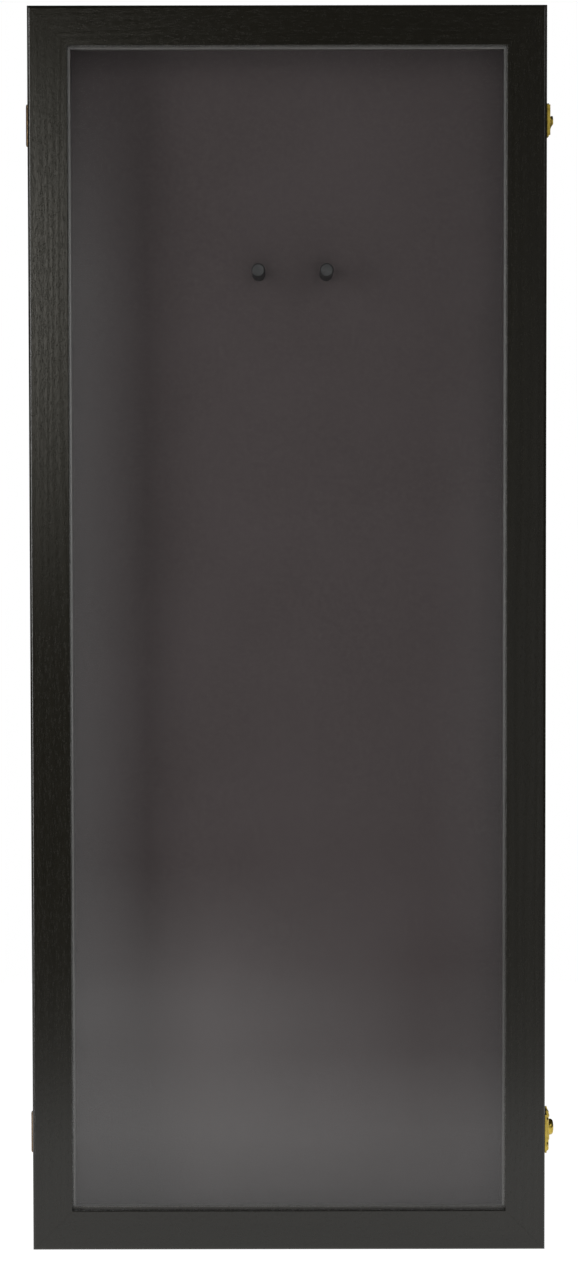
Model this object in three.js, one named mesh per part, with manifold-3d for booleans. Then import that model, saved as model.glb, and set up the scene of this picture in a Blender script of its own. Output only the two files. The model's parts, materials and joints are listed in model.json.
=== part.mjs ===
// A wall-hung display case for one electric guitar: a shallow black box with a felt-lined back and
// two padded pegs, closed by a glazed door. The door swings on two butt hinges on its left edge. A
// swing hook and a keyed hasp close it on its right edge.
//
// Millimetres, +Z up. The origin is the middle of the underside of the box. The door faces -Y and
// the wall is on the +Y side.

import * as THREE from 'three';
import { mergeVertices } from 'three/addons/utils/BufferGeometryUtils.js';
import Module from 'manifold-3d';

const wasm = await Module();
wasm.setup();

// ---- Driving dimensions ----

const WIDTH = 454;
const HEIGHT = 1098;
const GAP = 0.3;              // room left between pieces that lie against each other

const BOX_DEPTH = 88;
const BOARD = 15;             // thickness of the four box boards
const PANEL = 4;              // thickness of the back panel
const PANEL_INSET = 8;        // from the rear edges of the boards to the back panel
const GROOVE_DEPTH = 6;       // groove in the boards that holds the back panel
const FELT = 2;

const DOOR_THICKNESS = 20;
const DOOR_GAP = 1;           // between the box's front edges and the door's back
const DOOR_CLEARANCE = 1;     // the door is this much short of the box at its top and bottom
const FACE = 35;              // width of the door's four members, seen from the front
const LIP_DEPTH = 8;          // front part of a door member, which the pane lies against
const RABBET = 8;             // how far the lip covers the pane
const EASED_EDGE = 3;         // radius of the door's outer front edges
const PANE = 2;
const PANE_MARGIN = 0.5;      // room around the pane in its rabbet
const BEAD_DEPTH = 8;
const BEAD_REVEAL = 2;        // how far a bead shows past the lip
const BEAD_ROUND = 1.2;

const PEG_HEIGHT = 870;       // height of the pegs' centres
const PEG_OFFSET = 4.5;       // the pair of pegs stands this much right of the middle
const PEG_SPACING = 61;
const PEG_REACH = 55;         // from the felt to a peg's tip
const DOWEL_RADIUS = 4;
const SLEEVE_RADIUS = 6;
const SLEEVE_TIP = 3.2;       // rubber in front of the dowel's end
const PEG_BLOCK = [112, 7, 46];

const HINGE_INSET = 103;      // from the top and the bottom of the case to a hinge's middle
const HINGE_LENGTH = 35;
const HINGE_AXIS_OUT = 0.9;   // the hinge pin stands this far outside the case's side
const KNUCKLE_RADIUS = 1.9;
const KNUCKLES = 5;
const PIN_RADIUS = 0.9;
const LEAF = 1.2;
const LEAF_WIDTH = 13.2;      // from the pin's axis to a leaf's far edge

const CATCH_HEIGHT = 997.5;
const CATCH_LENGTH = 28.5;
const CATCH_PIVOT_BACK = 18;  // from the box's front edge back to the hook's pivot
const KEEPER_BACK = 10;       // from the door's front face back to the keeper's stud
const PLATE = 1.5;            // thickness of the catch's two plates
const HOOK_FLOOR = 4;         // underside of the hook above the case's side
const HOOK = 1.5;

const LOCK_HEIGHT = 104;
const HASP_LENGTH = 35;
const HASP_AXIS_OUT = 2.6;
const HASP_AXIS_BACK = 18.5;  // from the door's front face back to the hasp's pin
const HASP_KNUCKLE = 2.2;
const LOCK_BACK = 12;         // from the box's front edge back to the lock's middle
const LOCK_RADIUS = 7.2;
const LOCK_TOP = 9.8;         // how far the lock stands out of the case's side
const CYLINDER_RADIUS = 3;

const HANGER_HEIGHT = 993;    // height of the hanging rings' bars
const RING_RADIUS = 6.2;      // half the width of a ring, to the middle of its wire
const RING_LEG = 5;           // straight part of a ring between its bar and its bow
const RING_WIRE = 1.2;
const EYE_RADIUS = 2.6;
const STRAP = [8, 1, 30];

const BUMPER_HEIGHT = 40;
const BUMPER_RADIUS = 6;
const BUMPER_DEPTH = 5;

// ---- Places that follow from them ----

const SIDE = WIDTH / 2;
const BOX_FRONT = -BOX_DEPTH / 2;
const BOX_BACK = BOX_DEPTH / 2;
const DOOR_BACK = BOX_FRONT - DOOR_GAP;
const DOOR_FRONT = DOOR_BACK - DOOR_THICKNESS;
const MIDDLE = HEIGHT / 2;
const DOOR_HEIGHT = HEIGHT - 2 * DOOR_CLEARANCE;
const PANEL_BACK = BOX_BACK - PANEL_INSET;
const PANEL_FRONT = PANEL_BACK - PANEL;
const FELT_BACK = PANEL_FRONT - GAP;
const FELT_FRONT = FELT_BACK - FELT;
const PANE_FRONT = DOOR_FRONT + LIP_DEPTH + GAP;
const BEAD_FRONT = PANE_FRONT + PANE + GAP;
const HINGE_X = -SIDE - HINGE_AXIS_OUT;
const HINGE_Y = (BOX_FRONT + DOOR_BACK) / 2;
const EDGE_MIDDLE = SIDE - BOARD / 2;

// ---- Materials ----

const finish = (color, roughness, metalness) => () => (
  new THREE.MeshStandardMaterial({ color, roughness, metalness })
);
const lacquer = finish(0x1d1b17, 0.42, 0);
const hardboard = finish(0x2a2420, 0.8, 0);
const felt = finish(0x3b3536, 1, 0);
const bareWood = finish(0xa98a5c, 0.7, 0);
const rubber = finish(0x1b1b1c, 0.75, 0);
const brass = finish(0xb08d3e, 0.32, 1);
const agedBrass = finish(0x6b5233, 0.45, 1);
const steel = finish(0x9c9ea0, 0.35, 1);
const acrylic = () => new THREE.MeshStandardMaterial({
  color: 0xe9eeee, roughness: 0.05, metalness: 0, transparent: true, opacity: 0.25,
});

// ---- Solids ----

// Turns a closed three.js geometry into a solid that can be joined and cut.
function solid(geometry) {
  const plain = geometry.clone();
  plain.deleteAttribute('normal');
  plain.deleteAttribute('uv');
  const merged = mergeVertices(plain, 1e-4);
  const index = merged.index.array;
  const corners = [];
  for (let i = 0; i < index.length; i += 3) {
    const [a, b, c] = [index[i], index[i + 1], index[i + 2]];
    if (a !== b && b !== c && c !== a) {
      corners.push(a, b, c);
    }
  }
  return new wasm.Manifold(new wasm.Mesh({
    numProp: 3,
    vertProperties: new Float32Array(merged.attributes.position.array),
    triVerts: new Uint32Array(corners),
  }));
}

function geometryOf(body) {
  const { vertProperties, triVerts } = body.getMesh();
  const geometry = new THREE.BufferGeometry();
  geometry.setAttribute('position', new THREE.BufferAttribute(vertProperties, 3));
  geometry.setIndex(new THREE.BufferAttribute(triVerts, 1));
  geometry.computeVertexNormals();
  return geometry;
}

const cut = (body, tools) => tools.reduce((left, tool) => left.subtract(tool), body);
const join = (bodies) => bodies.reduce((whole, body) => whole.add(body));

// A block from one corner to the opposite one.
function block([x0, y0, z0], [x1, y1, z1]) {
  const geometry = new THREE.BoxGeometry(x1 - x0, y1 - y0, z1 - z0);
  geometry.translate((x0 + x1) / 2, (y0 + y1) / 2, (z0 + z1) / 2);
  return solid(geometry);
}

// Turns a geometry made along +Z to lie along another axis.
function alongX(geometry) {
  return geometry.rotateY(Math.PI / 2);
}

function alongY(geometry) {
  return geometry.rotateX(-Math.PI / 2);
}

// A round body about +Z. The profile lists radius and height from the bottom to the top.
function turned(profile, segments = 16) {
  const points = profile.map(([radius, height]) => new THREE.Vector2(radius, height));
  return new THREE.LatheGeometry(points, segments).rotateX(Math.PI / 2);
}

function cylinder(radius, z0, z1, segments = 16) {
  return turned([[0, z0], [radius, z0], [radius, z1], [0, z1]], segments);
}

// An outline in the XY plane drawn out along +Z.
function drawn(outline, length, curveSegments = 4) {
  return new THREE.ExtrudeGeometry(outline, {
    depth: length, bevelEnabled: false, curveSegments,
  });
}

function polygon(points) {
  return new THREE.Shape(points.map(([x, y]) => new THREE.Vector2(x, y)));
}

// A rectangle about the point (x, y) with round corners.
function roundedRectangle(x, y, width, height, radius) {
  const shape = new THREE.Shape();
  const [right, top] = [x + width / 2 - radius, y + height / 2 - radius];
  const [left, bottom] = [x - width / 2 + radius, y - height / 2 + radius];
  shape.absarc(right, top, radius, 0, Math.PI / 2);
  shape.absarc(left, top, radius, Math.PI / 2, Math.PI);
  shape.absarc(left, bottom, radius, Math.PI, 1.5 * Math.PI);
  shape.absarc(right, bottom, radius, 1.5 * Math.PI, 2 * Math.PI);
  return shape;
}

// A flat plate whose outline is given in Y and Z, drawn out along +X.
function platePart(outline, x0, thickness) {
  const geometry = drawn(outline, thickness);
  geometry.rotateX(Math.PI / 2).rotateZ(Math.PI / 2);
  return geometry.translate(x0, 0, 0);
}

// A mesh in its own node. Placing it is left to the caller.
function piece(name, geometry, material) {
  const mesh = new THREE.Mesh(geometry, material());
  mesh.name = name;
  return mesh;
}

// ---- Mitred frame members ----

// One side of a mitred frame. The section gives the distance in from the frame's outer edge and
// the depth in Y. The turn is 0 for the left side, then a quarter turn for each next side:
// top, right, bottom.
function frameMember(section, length, turn, place) {
  const inwards = section.map(([x]) => x);
  const depths = section.map(([, y]) => y);
  const reach = Math.max(...inwards);
  const [front, back] = [Math.min(...depths), Math.max(...depths)];
  const end = length / 2 - GAP / Math.SQRT2;
  const mitres = drawn(polygon([[0, -end], [reach, reach - end], [reach, end - reach], [0, end]]),
    back - front);
  mitres.rotateX(Math.PI / 2).translate(0, back, 0);
  const bar = drawn(polygon(section), length).translate(0, 0, -length / 2);
  const member = solid(bar).intersect(solid(mitres));
  const geometry = geometryOf(member).rotateY(turn * Math.PI / 2).translate(...place);
  return solid(geometry);
}

// The four sides of a mitred frame about the middle of the case, keyed by side.
function mitredFrame(section, width, height) {
  return {
    left: frameMember(section, height, 0, [-width / 2, 0, MIDDLE]),
    top: frameMember(section, width, 1, [0, 0, MIDDLE + height / 2]),
    right: frameMember(section, height, 2, [width / 2, 0, MIDDLE]),
    bottom: frameMember(section, width, 3, [0, 0, MIDDLE - height / 2]),
  };
}

// A quarter-round corner of a section, as points from one angle to the next.
function roundCorner(x, y, radius, from, steps = 3) {
  return Array.from({ length: steps + 1 }, (_, i) => {
    const angle = from + (i / steps) * (Math.PI / 2);
    return [x + radius * Math.cos(angle), y + radius * Math.sin(angle)];
  });
}

const boardSection = [
  [0, BOX_FRONT],
  [BOARD, BOX_FRONT],
  [BOARD, PANEL_FRONT - GAP],
  [BOARD - GROOVE_DEPTH, PANEL_FRONT - GAP],
  [BOARD - GROOVE_DEPTH, PANEL_BACK + GAP],
  [BOARD, PANEL_BACK + GAP],
  [BOARD, BOX_BACK],
  [0, BOX_BACK],
];

const doorSection = [
  ...roundCorner(EASED_EDGE, DOOR_FRONT + EASED_EDGE, EASED_EDGE, Math.PI),
  [FACE, DOOR_FRONT],
  [FACE, DOOR_FRONT + LIP_DEPTH],
  [FACE - RABBET, DOOR_FRONT + LIP_DEPTH],
  [FACE - RABBET, DOOR_BACK],
  [0, DOOR_BACK],
];

const beadWidth = RABBET + BEAD_REVEAL - GAP;
const beadSection = [
  [0, BEAD_FRONT],
  [beadWidth, BEAD_FRONT],
  ...roundCorner(beadWidth - BEAD_ROUND, BEAD_FRONT + BEAD_DEPTH - BEAD_ROUND, BEAD_ROUND, 0),
  [0, BEAD_FRONT + BEAD_DEPTH],
];

// ---- Screws ----

// Screws lie along +Z: the head's seat is at z = 0 and the point is below it.
const roundScrew = { shank: 1.3, length: 11, head: 2.4, rise: 1.9 };
const catchScrew = { shank: 1.3, length: 11, head: 2.4, rise: 1.6 };
const hingeScrew = { shank: 1.1, length: 10, head: 2.1, sink: 1.1 };
const hangerScrew = { shank: 1.7, length: 18, head: 3, rise: 2 };
const pegScrew = { shank: 1.9, length: 26, head: 3.6, rise: 2.2 };
const POINT = 2.5;            // length of a screw's tapered point
const SLOT = [0.7, 0.6];      // width and depth of a screw's driver slot

function screwGeometry({ shank, length, head, rise = 0, sink = 0 }) {
  const profile = [[0, -length], [shank, POINT - length], [shank, -sink], [head, 0]];
  if (rise > 0) {
    profile.push([0.85 * head, 0.6 * rise], [0.5 * head, 0.93 * rise]);
  }
  profile.push([0, rise]);
  const slot = block([-SLOT[0] / 2, -head, rise - SLOT[1]], [SLOT[0] / 2, head, rise + 1]);
  return geometryOf(cut(solid(turned(profile, 12)), [slot]));
}

const turnTo = {
  '+x': (geometry) => geometry.rotateY(Math.PI / 2),
  '+y': (geometry) => geometry.rotateX(-Math.PI / 2),
  '-y': (geometry) => geometry.rotateX(Math.PI / 2),
};

// A screw whose head faces the given way, with its seat at the given place.
function screw(name, kind, material, facing, place) {
  const mesh = piece(name, turnTo[facing](screwGeometry(kind)), material);
  mesh.position.set(...place);
  return mesh;
}

// The hole that a screw needs in whatever it passes through or ends in.
function pilotHole(kind, facing, place) {
  const hole = cylinder(kind.shank + GAP, -kind.length - GAP, GAP, 12);
  return solid(turnTo[facing](hole).translate(...place));
}

// ---- Where every screw goes ----

const hingeHeights = { upper: HEIGHT - HINGE_INSET, lower: HINGE_INSET };
const HINGE_SCREW_OUT = 7.6;  // from the hinge's axis to its screws
const HINGE_SCREW_RISE = 10.5;
const leafFace = LEAF / 3;    // a leaf's inner face, from the plane of the hinge's axis
const CATCH_SCREW_RISE = 8.2;
const HASP_SCREW_RISE = 11;
const LOCK_SCREWS_BACK = { front: 13.2, rear: 20.2 }; // from the lock's middle back to its screws
const HASP_LEAF = 1.4;
const HASP_LEAF_WIDTH = 15.5;
const LOCK_FLANGE = 1.2;
const HANGER_SCREW_DROP = 19; // from a ring's bar down to the strap's screw
const COUNTERBORE = 2.5;

const catchPivotY = BOX_FRONT + CATCH_PIVOT_BACK;
const keeperY = DOOR_FRONT + KEEPER_BACK;
const haspY = DOOR_FRONT + HASP_AXIS_BACK;
const lockY = BOX_FRONT + LOCK_BACK;
const plateTop = SIDE + GAP + PLATE;
const pegBlockFront = PANEL_BACK + GAP;
const pegBlockBack = pegBlockFront + PEG_BLOCK[1];
const strapBack = BOX_BACK + GAP + STRAP[1];
const pegPlaces = {
  left: PEG_OFFSET - PEG_SPACING / 2,
  right: PEG_OFFSET + PEG_SPACING / 2,
};

// name, kind, material, facing, place and the boards that the screw goes into
const screws = [];
for (const [level, z] of Object.entries(hingeHeights)) {
  for (const [end, side] of [['upper', 1], ['lower', -1]]) {
    const height = z + side * HINGE_SCREW_RISE;
    const x = HINGE_X + HINGE_SCREW_OUT;
    screws.push([`${level}_hinge_door_screw_${end}`, hingeScrew, agedBrass, '+y',
      [x, HINGE_Y - leafFace, height], 'doorLeft']);
    screws.push([`${level}_hinge_box_screw_${end}`, hingeScrew, agedBrass, '-y',
      [x, HINGE_Y + leafFace, height], 'boxLeft']);
  }
}
for (const [end, side] of [['upper', 1], ['lower', -1]]) {
  screws.push([`catch_screw_${end}`, catchScrew, brass, '+x',
    [plateTop + GAP, catchPivotY, CATCH_HEIGHT + side * CATCH_SCREW_RISE], 'boxRight']);
  screws.push([`keeper_screw_${end}`, catchScrew, brass, '+x',
    [plateTop + GAP, keeperY, CATCH_HEIGHT + side * CATCH_SCREW_RISE], 'doorRight']);
  screws.push([`hasp_screw_${end}`, roundScrew, brass, '+x',
    [SIDE + HASP_LEAF + 2 * GAP, haspY - HASP_LEAF_WIDTH / 2 - 1.5,
      LOCK_HEIGHT + side * HASP_SCREW_RISE], 'doorRight']);
}
for (const [end, back] of Object.entries(LOCK_SCREWS_BACK)) {
  screws.push([`lock_screw_${end}`, roundScrew, brass, '+x',
    [SIDE + LOCK_FLANGE + 2 * GAP, lockY + back, LOCK_HEIGHT], 'boxRight']);
}
for (const [side, sign] of [['left', -1], ['right', 1]]) {
  screws.push([`${side}_hanger_screw`, hangerScrew, steel, '+y',
    [sign * EDGE_MIDDLE, strapBack + GAP, HANGER_HEIGHT - HANGER_SCREW_DROP],
    side === 'left' ? 'boxLeft' : 'boxRight']);
  screws.push([`${side}_peg_screw`, pegScrew, steel, '+y',
    [pegPlaces[side], pegBlockBack - COUNTERBORE, PEG_HEIGHT], 'peg']);
}

const holesFor = (host) => screws
  .filter((entry) => entry[5] === host)
  .map(([, kind, , facing, place]) => pilotHole(kind, facing, place));

// ---- The box ----

const box = new THREE.Group();
const door = new THREE.Group();

// Room in the wood for the two hinge barrels, and for one leaf of each hinge.
const BARREL_ROOM = 0.5;
const PIN_HEAD = 0.9;
function hingeRoom(leafDirection) {
  return Object.values(hingeHeights).flatMap((z) => {
    const reach = HINGE_LENGTH / 2 + PIN_HEAD + 2 * GAP;
    const barrel = solid(cylinder(KNUCKLE_RADIUS + BARREL_ROOM, z - reach, z + reach)
      .translate(HINGE_X, HINGE_Y, 0));
    const depth = leafDirection * (leafFace + LEAF + GAP);
    const mortise = block(
      [HINGE_X, Math.min(HINGE_Y, HINGE_Y + depth), z - HINGE_LENGTH / 2 - GAP],
      [HINGE_X + LEAF_WIDTH + GAP, Math.max(HINGE_Y, HINGE_Y + depth), z + HINGE_LENGTH / 2 + GAP],
    );
    return [barrel, mortise];
  });
}

const boxSides = mitredFrame(boardSection, WIDTH, HEIGHT);
boxSides.left = cut(boxSides.left, [...hingeRoom(1), ...holesFor('boxLeft')]);
boxSides.right = cut(boxSides.right, holesFor('boxRight'));
for (const [side, body] of Object.entries(boxSides)) {
  box.add(piece(`box_${side}_board`, geometryOf(body), lacquer));
}

const panelOverlap = GROOVE_DEPTH - 0.5;
const pegHoles = holesFor('peg');
const backPanel = block(
  [-SIDE + BOARD - panelOverlap, PANEL_FRONT, BOARD - panelOverlap],
  [SIDE - BOARD + panelOverlap, PANEL_BACK, HEIGHT - BOARD + panelOverlap],
);
box.add(piece('back_panel', geometryOf(cut(backPanel, pegHoles)), hardboard));

const feltMargin = BOARD + 0.5;
const dowelHoles = Object.values(pegPlaces).map((x) => (
  solid(alongY(cylinder(DOWEL_RADIUS + GAP, FELT_FRONT - 1, FELT_BACK + 1))
    .translate(x, 0, PEG_HEIGHT))
));
const feltSheet = block(
  [-SIDE + feltMargin, FELT_FRONT, feltMargin],
  [SIDE - feltMargin, FELT_BACK, HEIGHT - feltMargin],
);
box.add(piece('felt_lining', geometryOf(cut(feltSheet, dowelHoles)), felt));

// ---- The pegs ----

const counterbores = Object.values(pegPlaces).map((x) => (
  solid(alongY(cylinder(pegScrew.head + 2 * GAP, pegBlockBack - COUNTERBORE - GAP,
    pegBlockBack + 1)).translate(x, 0, PEG_HEIGHT))
));
const pegBlock = block(
  [PEG_OFFSET - PEG_BLOCK[0] / 2, pegBlockFront, PEG_HEIGHT - PEG_BLOCK[2] / 2],
  [PEG_OFFSET + PEG_BLOCK[0] / 2, pegBlockBack, PEG_HEIGHT + PEG_BLOCK[2] / 2],
);
box.add(piece('peg_block', geometryOf(cut(pegBlock, [...pegHoles, ...counterbores])), bareWood));

const sleeveFront = FELT_FRONT - PEG_REACH;
const dowelFront = sleeveFront + SLEEVE_TIP;
const ROUND_OVER = 1.5;       // radius of the rubber sleeves' tips
for (const [side, x] of Object.entries(pegPlaces)) {
  const rod = alongY(turned([
    [0, dowelFront + GAP],
    [DOWEL_RADIUS - 1, dowelFront + GAP],
    [DOWEL_RADIUS, dowelFront + GAP + 1],
    [DOWEL_RADIUS, FELT_BACK],
    [0, FELT_BACK],
  ])).translate(x, 0, PEG_HEIGHT);
  box.add(piece(`${side}_peg_dowel`, geometryOf(cut(solid(rod), pegHoles)), bareWood));
  const bore = DOWEL_RADIUS + GAP;
  const sleeve = alongY(turned([
    [0, sleeveFront],
    [SLEEVE_RADIUS - ROUND_OVER, sleeveFront],
    [SLEEVE_RADIUS - 0.4, sleeveFront + 0.5],
    [SLEEVE_RADIUS, sleeveFront + ROUND_OVER],
    [SLEEVE_RADIUS, FELT_FRONT - GAP],
    [bore, FELT_FRONT - GAP],
    [bore, dowelFront],
    [0, dowelFront],
  ])).translate(x, 0, PEG_HEIGHT);
  box.add(piece(`${side}_peg_sleeve`, geometryOf(solid(sleeve)), rubber));
}

// ---- The door ----

const doorSides = mitredFrame(doorSection, WIDTH, DOOR_HEIGHT);
doorSides.left = cut(doorSides.left, [...hingeRoom(-1), ...holesFor('doorLeft')]);
doorSides.right = cut(doorSides.right, holesFor('doorRight'));
const doorNames = {
  left: 'door_left_stile', right: 'door_right_stile', top: 'door_top_rail', bottom: 'door_bottom_rail',
};
for (const [side, body] of Object.entries(doorSides)) {
  door.add(piece(doorNames[side], geometryOf(body), lacquer));
}

const rabbetWidth = WIDTH - 2 * (FACE - RABBET);
const rabbetHeight = DOOR_HEIGHT - 2 * (FACE - RABBET);
const pane = new THREE.BoxGeometry(
  rabbetWidth - 2 * PANE_MARGIN, PANE, rabbetHeight - 2 * PANE_MARGIN);
const paneMesh = piece('acrylic_pane', pane, acrylic);
paneMesh.position.set(0, PANE_FRONT + PANE / 2, MIDDLE);
door.add(paneMesh);

const beads = mitredFrame(beadSection, rabbetWidth - 2 * GAP, rabbetHeight - 2 * GAP);
for (const [side, body] of Object.entries(beads)) {
  door.add(piece(`pane_bead_${side}`, geometryOf(body), lacquer));
}

// ---- Hinges ----

// Tube lengths of a barrel about +Z that belong to one leaf, with the room the others need.
function barrelParts(length, radius, own) {
  const each = length / KNUCKLES;
  const tubes = [];
  const rooms = [];
  for (let i = 0; i < KNUCKLES; i += 1) {
    const [low, high] = [-length / 2 + i * each, -length / 2 + (i + 1) * each];
    if ((i % 2 === 0) === own) {
      tubes.push(solid(cylinder(radius, low + GAP / 2, high - GAP / 2)));
    } else {
      rooms.push(solid(cylinder(radius + GAP, low - GAP / 2, high + GAP / 2)));
    }
  }
  return { tubes, rooms, bore: solid(cylinder(PIN_RADIUS + GAP, -length, length, 12)) };
}

function hingeLeaf(direction, withOuterKnuckles) {
  const near = direction * leafFace;
  const far = direction * (leafFace + LEAF);
  const plate = block(
    [0, Math.min(near, far), -HINGE_LENGTH / 2 + GAP / 2],
    [LEAF_WIDTH, Math.max(near, far), HINGE_LENGTH / 2 - GAP / 2],
  );
  const { tubes, rooms, bore } = barrelParts(HINGE_LENGTH, KNUCKLE_RADIUS, withOuterKnuckles);
  const countersinks = [1, -1].map((side) => {
    const [wide, narrow] = [hingeScrew.head + GAP, hingeScrew.shank + GAP];
    const funnel = turned([
      [0, -LEAF - 1], [narrow, -LEAF - 1], [narrow, -hingeScrew.sink], [wide, 0], [wide, 1], [0, 1],
    ], 12);
    return solid(turnTo[direction > 0 ? '-y' : '+y'](funnel)
      .translate(HINGE_SCREW_OUT, near, side * HINGE_SCREW_RISE));
  });
  return cut(join([cut(plate, rooms), ...tubes]), [bore, ...countersinks]);
}

// A pin about +Z with a flat head at each end.
function pinGeometry(length) {
  const neck = length / 2 + GAP;
  const head = PIN_RADIUS + 0.8;
  return turned([
    [0, -neck - PIN_HEAD], [head, -neck - PIN_HEAD], [head, -neck], [PIN_RADIUS, -neck],
    [PIN_RADIUS, neck], [head, neck], [head, neck + PIN_HEAD], [0, neck + PIN_HEAD],
  ], 12);
}

for (const [level, z] of Object.entries(hingeHeights)) {
  const parts = [
    [door, piece(`${level}_hinge_door_leaf`, geometryOf(hingeLeaf(-1, false)), agedBrass)],
    [box, piece(`${level}_hinge_box_leaf`, geometryOf(hingeLeaf(1, true)), agedBrass)],
    [box, piece(`${level}_hinge_pin`, pinGeometry(HINGE_LENGTH), agedBrass)],
  ];
  for (const [parent, mesh] of parts) {
    mesh.position.set(HINGE_X, HINGE_Y, z);
    parent.add(mesh);
  }
}

// ---- The swing-hook catch, near the top ----

const screwHoles = (kind, y, rise) => [1, -1].map((side) => (
  solid(alongX(cylinder(kind.shank + GAP, -1, 10, 12)).translate(0, y, side * rise))
));

const catchPlateOutline = roundedRectangle(0, 0, 15, CATCH_LENGTH, 3);
const POST_RADIUS = 2.3;
const COLLAR = 1.6;           // width of the collar under the hook, and of the head above it
const POST_TOP = HOOK_FLOOR + HOOK + GAP;
const post = alongX(turned([
  [0, GAP], [POST_RADIUS + COLLAR, GAP], [POST_RADIUS + COLLAR, HOOK_FLOOR - GAP],
  [POST_RADIUS, HOOK_FLOOR - GAP], [POST_RADIUS, POST_TOP], [POST_RADIUS + COLLAR, POST_TOP],
  [POST_RADIUS + COLLAR / 2, POST_TOP + 0.7], [0, POST_TOP + 0.9],
]));
const catchPlate = cut(
  join([solid(platePart(catchPlateOutline, GAP, PLATE)), solid(post)]),
  screwHoles(catchScrew, 0, CATCH_SCREW_RISE),
);
const catchOnBox = new THREE.Group();
catchOnBox.position.set(SIDE, catchPivotY, CATCH_HEIGHT);
catchOnBox.add(piece('catch_plate', geometryOf(catchPlate), brass));

// The hook's arm runs forward from its eye. Its notch opens downwards over the keeper's stud.
const EYE = 5.4;
const ARM = 4;                // half the height of the arm
const hookReach = catchPivotY - keeperY;
const NOTCH = 2.8;            // half the width of the notch
const NOSE = 6.2;             // from the stud's middle to the tip of the hook
const hookOutline = new THREE.Shape();
hookOutline.moveTo(0, -EYE);
hookOutline.absarc(0, 0, EYE, -Math.PI / 2, Math.PI / 2, false);
hookOutline.lineTo(-EYE, ARM - 0.6);
hookOutline.lineTo(-hookReach, ARM);
hookOutline.absarc(-hookReach, 0, ARM, Math.PI / 2, Math.PI / 2 + 0.6, false);
hookOutline.lineTo(-hookReach - NOSE, 0.5);
hookOutline.lineTo(-hookReach - NOSE, -ARM + 0.8);
hookOutline.lineTo(-hookReach - NOSE + 1, -ARM);
hookOutline.lineTo(-hookReach - NOTCH, -ARM);
hookOutline.absarc(-hookReach, -0.4, NOTCH, Math.PI, 0, true);
hookOutline.lineTo(-hookReach + NOTCH, -ARM);
hookOutline.lineTo(-EYE, -ARM + 0.6);
const eyeBore = solid(alongX(cylinder(POST_RADIUS + GAP + 0.1, 0, 10)));
const hook = cut(solid(platePart(hookOutline, HOOK_FLOOR, HOOK)), [eyeBore]);
catchOnBox.add(piece('catch_hook', geometryOf(hook), brass));
box.add(catchOnBox);

// The keeper has a raised rib along its front edge. Its stud ends just under the hook.
const RIB = [1.6, 3];         // width and height of the rib
const STUD_RADIUS = 2.4;
const keeperDepth = 14;
const stud = alongX(cylinder(STUD_RADIUS, GAP, HOOK_FLOOR - GAP));
const rib = block([GAP, -keeperDepth / 2, -CATCH_LENGTH / 2 + 1],
  [RIB[1], -keeperDepth / 2 + RIB[0], CATCH_LENGTH / 2 - 1]);
const keeperOutline = roundedRectangle(0, 0, keeperDepth, CATCH_LENGTH, 1);
const keeper = cut(
  join([solid(platePart(keeperOutline, GAP, PLATE)), solid(stud), rib]),
  screwHoles(catchScrew, 0, CATCH_SCREW_RISE),
);
const keeperMesh = piece('keeper_plate', geometryOf(keeper), brass);
keeperMesh.position.set(SIDE, keeperY, CATCH_HEIGHT);
door.add(keeperMesh);

// ---- The keyed hasp, near the bottom ----

const hasp = new THREE.Group();
hasp.position.set(SIDE + HASP_AXIS_OUT, haspY, LOCK_HEIGHT);
const leafBarrel = barrelParts(HASP_LENGTH, HASP_KNUCKLE, true);
const leafPlate = block(
  [GAP - HASP_AXIS_OUT, -HASP_LEAF_WIDTH, -HASP_LENGTH / 2 + GAP / 2],
  [GAP + HASP_LEAF - HASP_AXIS_OUT, 0, HASP_LENGTH / 2 - GAP / 2],
);
const leafHoles = screwHoles(roundScrew, -HASP_LEAF_WIDTH / 2 - 1.5, HASP_SCREW_RISE)
  .map((hole) => hole.translate([-HASP_AXIS_OUT, 0, 0]));
const haspLeaf = cut(
  join([cut(leafPlate, leafBarrel.rooms), ...leafBarrel.tubes]),
  [leafBarrel.bore, ...leafHoles],
);
hasp.add(piece('hasp_leaf', geometryOf(haspLeaf), brass));

// The flap is a fork that straddles the lock and is open towards the back. Its two tips turn
// outwards: the upper one as a tapered finger tab, the lower one as a short stop.
const FLAP = 1.6;
const TAB_BEND = 1.4;         // inner radius of the tabs' bend
const TAB_REACH = 21.5;       // from the hasp's pin to the outside of the tabs
const TAB_HEIGHT = 3.8;
const TAB_TAPER = 8;          // height that the upper tab tapers over, up to the flap's end
const STOP_END = 12.9;        // from the lock's middle down to the end of the lower tab
const flapBase = -FLAP / 2;
const bendX = flapBase + FLAP + TAB_BEND;
const bendY = TAB_REACH - FLAP - TAB_BEND;
const tabTop = bendX + TAB_HEIGHT - TAB_BEND;
const flapSection = polygon([
  [flapBase, 0],
  ...roundCorner(bendX, bendY, TAB_BEND + FLAP, Math.PI, 4).map(([x, y]) => [x, 2 * bendY - y]),
  [tabTop, TAB_REACH],
  [tabTop, TAB_REACH - FLAP],
  ...roundCorner(bendX, bendY, TAB_BEND, Math.PI, 4).map(([x, y]) => [x, 2 * bendY - y]).reverse(),
  [flapBase + FLAP, 0],
]);
const flapStrip = drawn(flapSection, HASP_LENGTH - GAP).translate(0, 0, (GAP - HASP_LENGTH) / 2);
const lockFromPin = lockY - haspY;
const FLANGE_HALF_WIDTH = LOCK_RADIUS + 0.2;
const slotHalf = FLANGE_HALF_WIDTH + 0.5;
const flapEnd = HASP_LENGTH / 2;
const beyondTab = TAB_REACH + 1;
const slot = block([-10, lockFromPin - slotHalf, -slotHalf], [10, beyondTab, slotHalf]);
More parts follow.
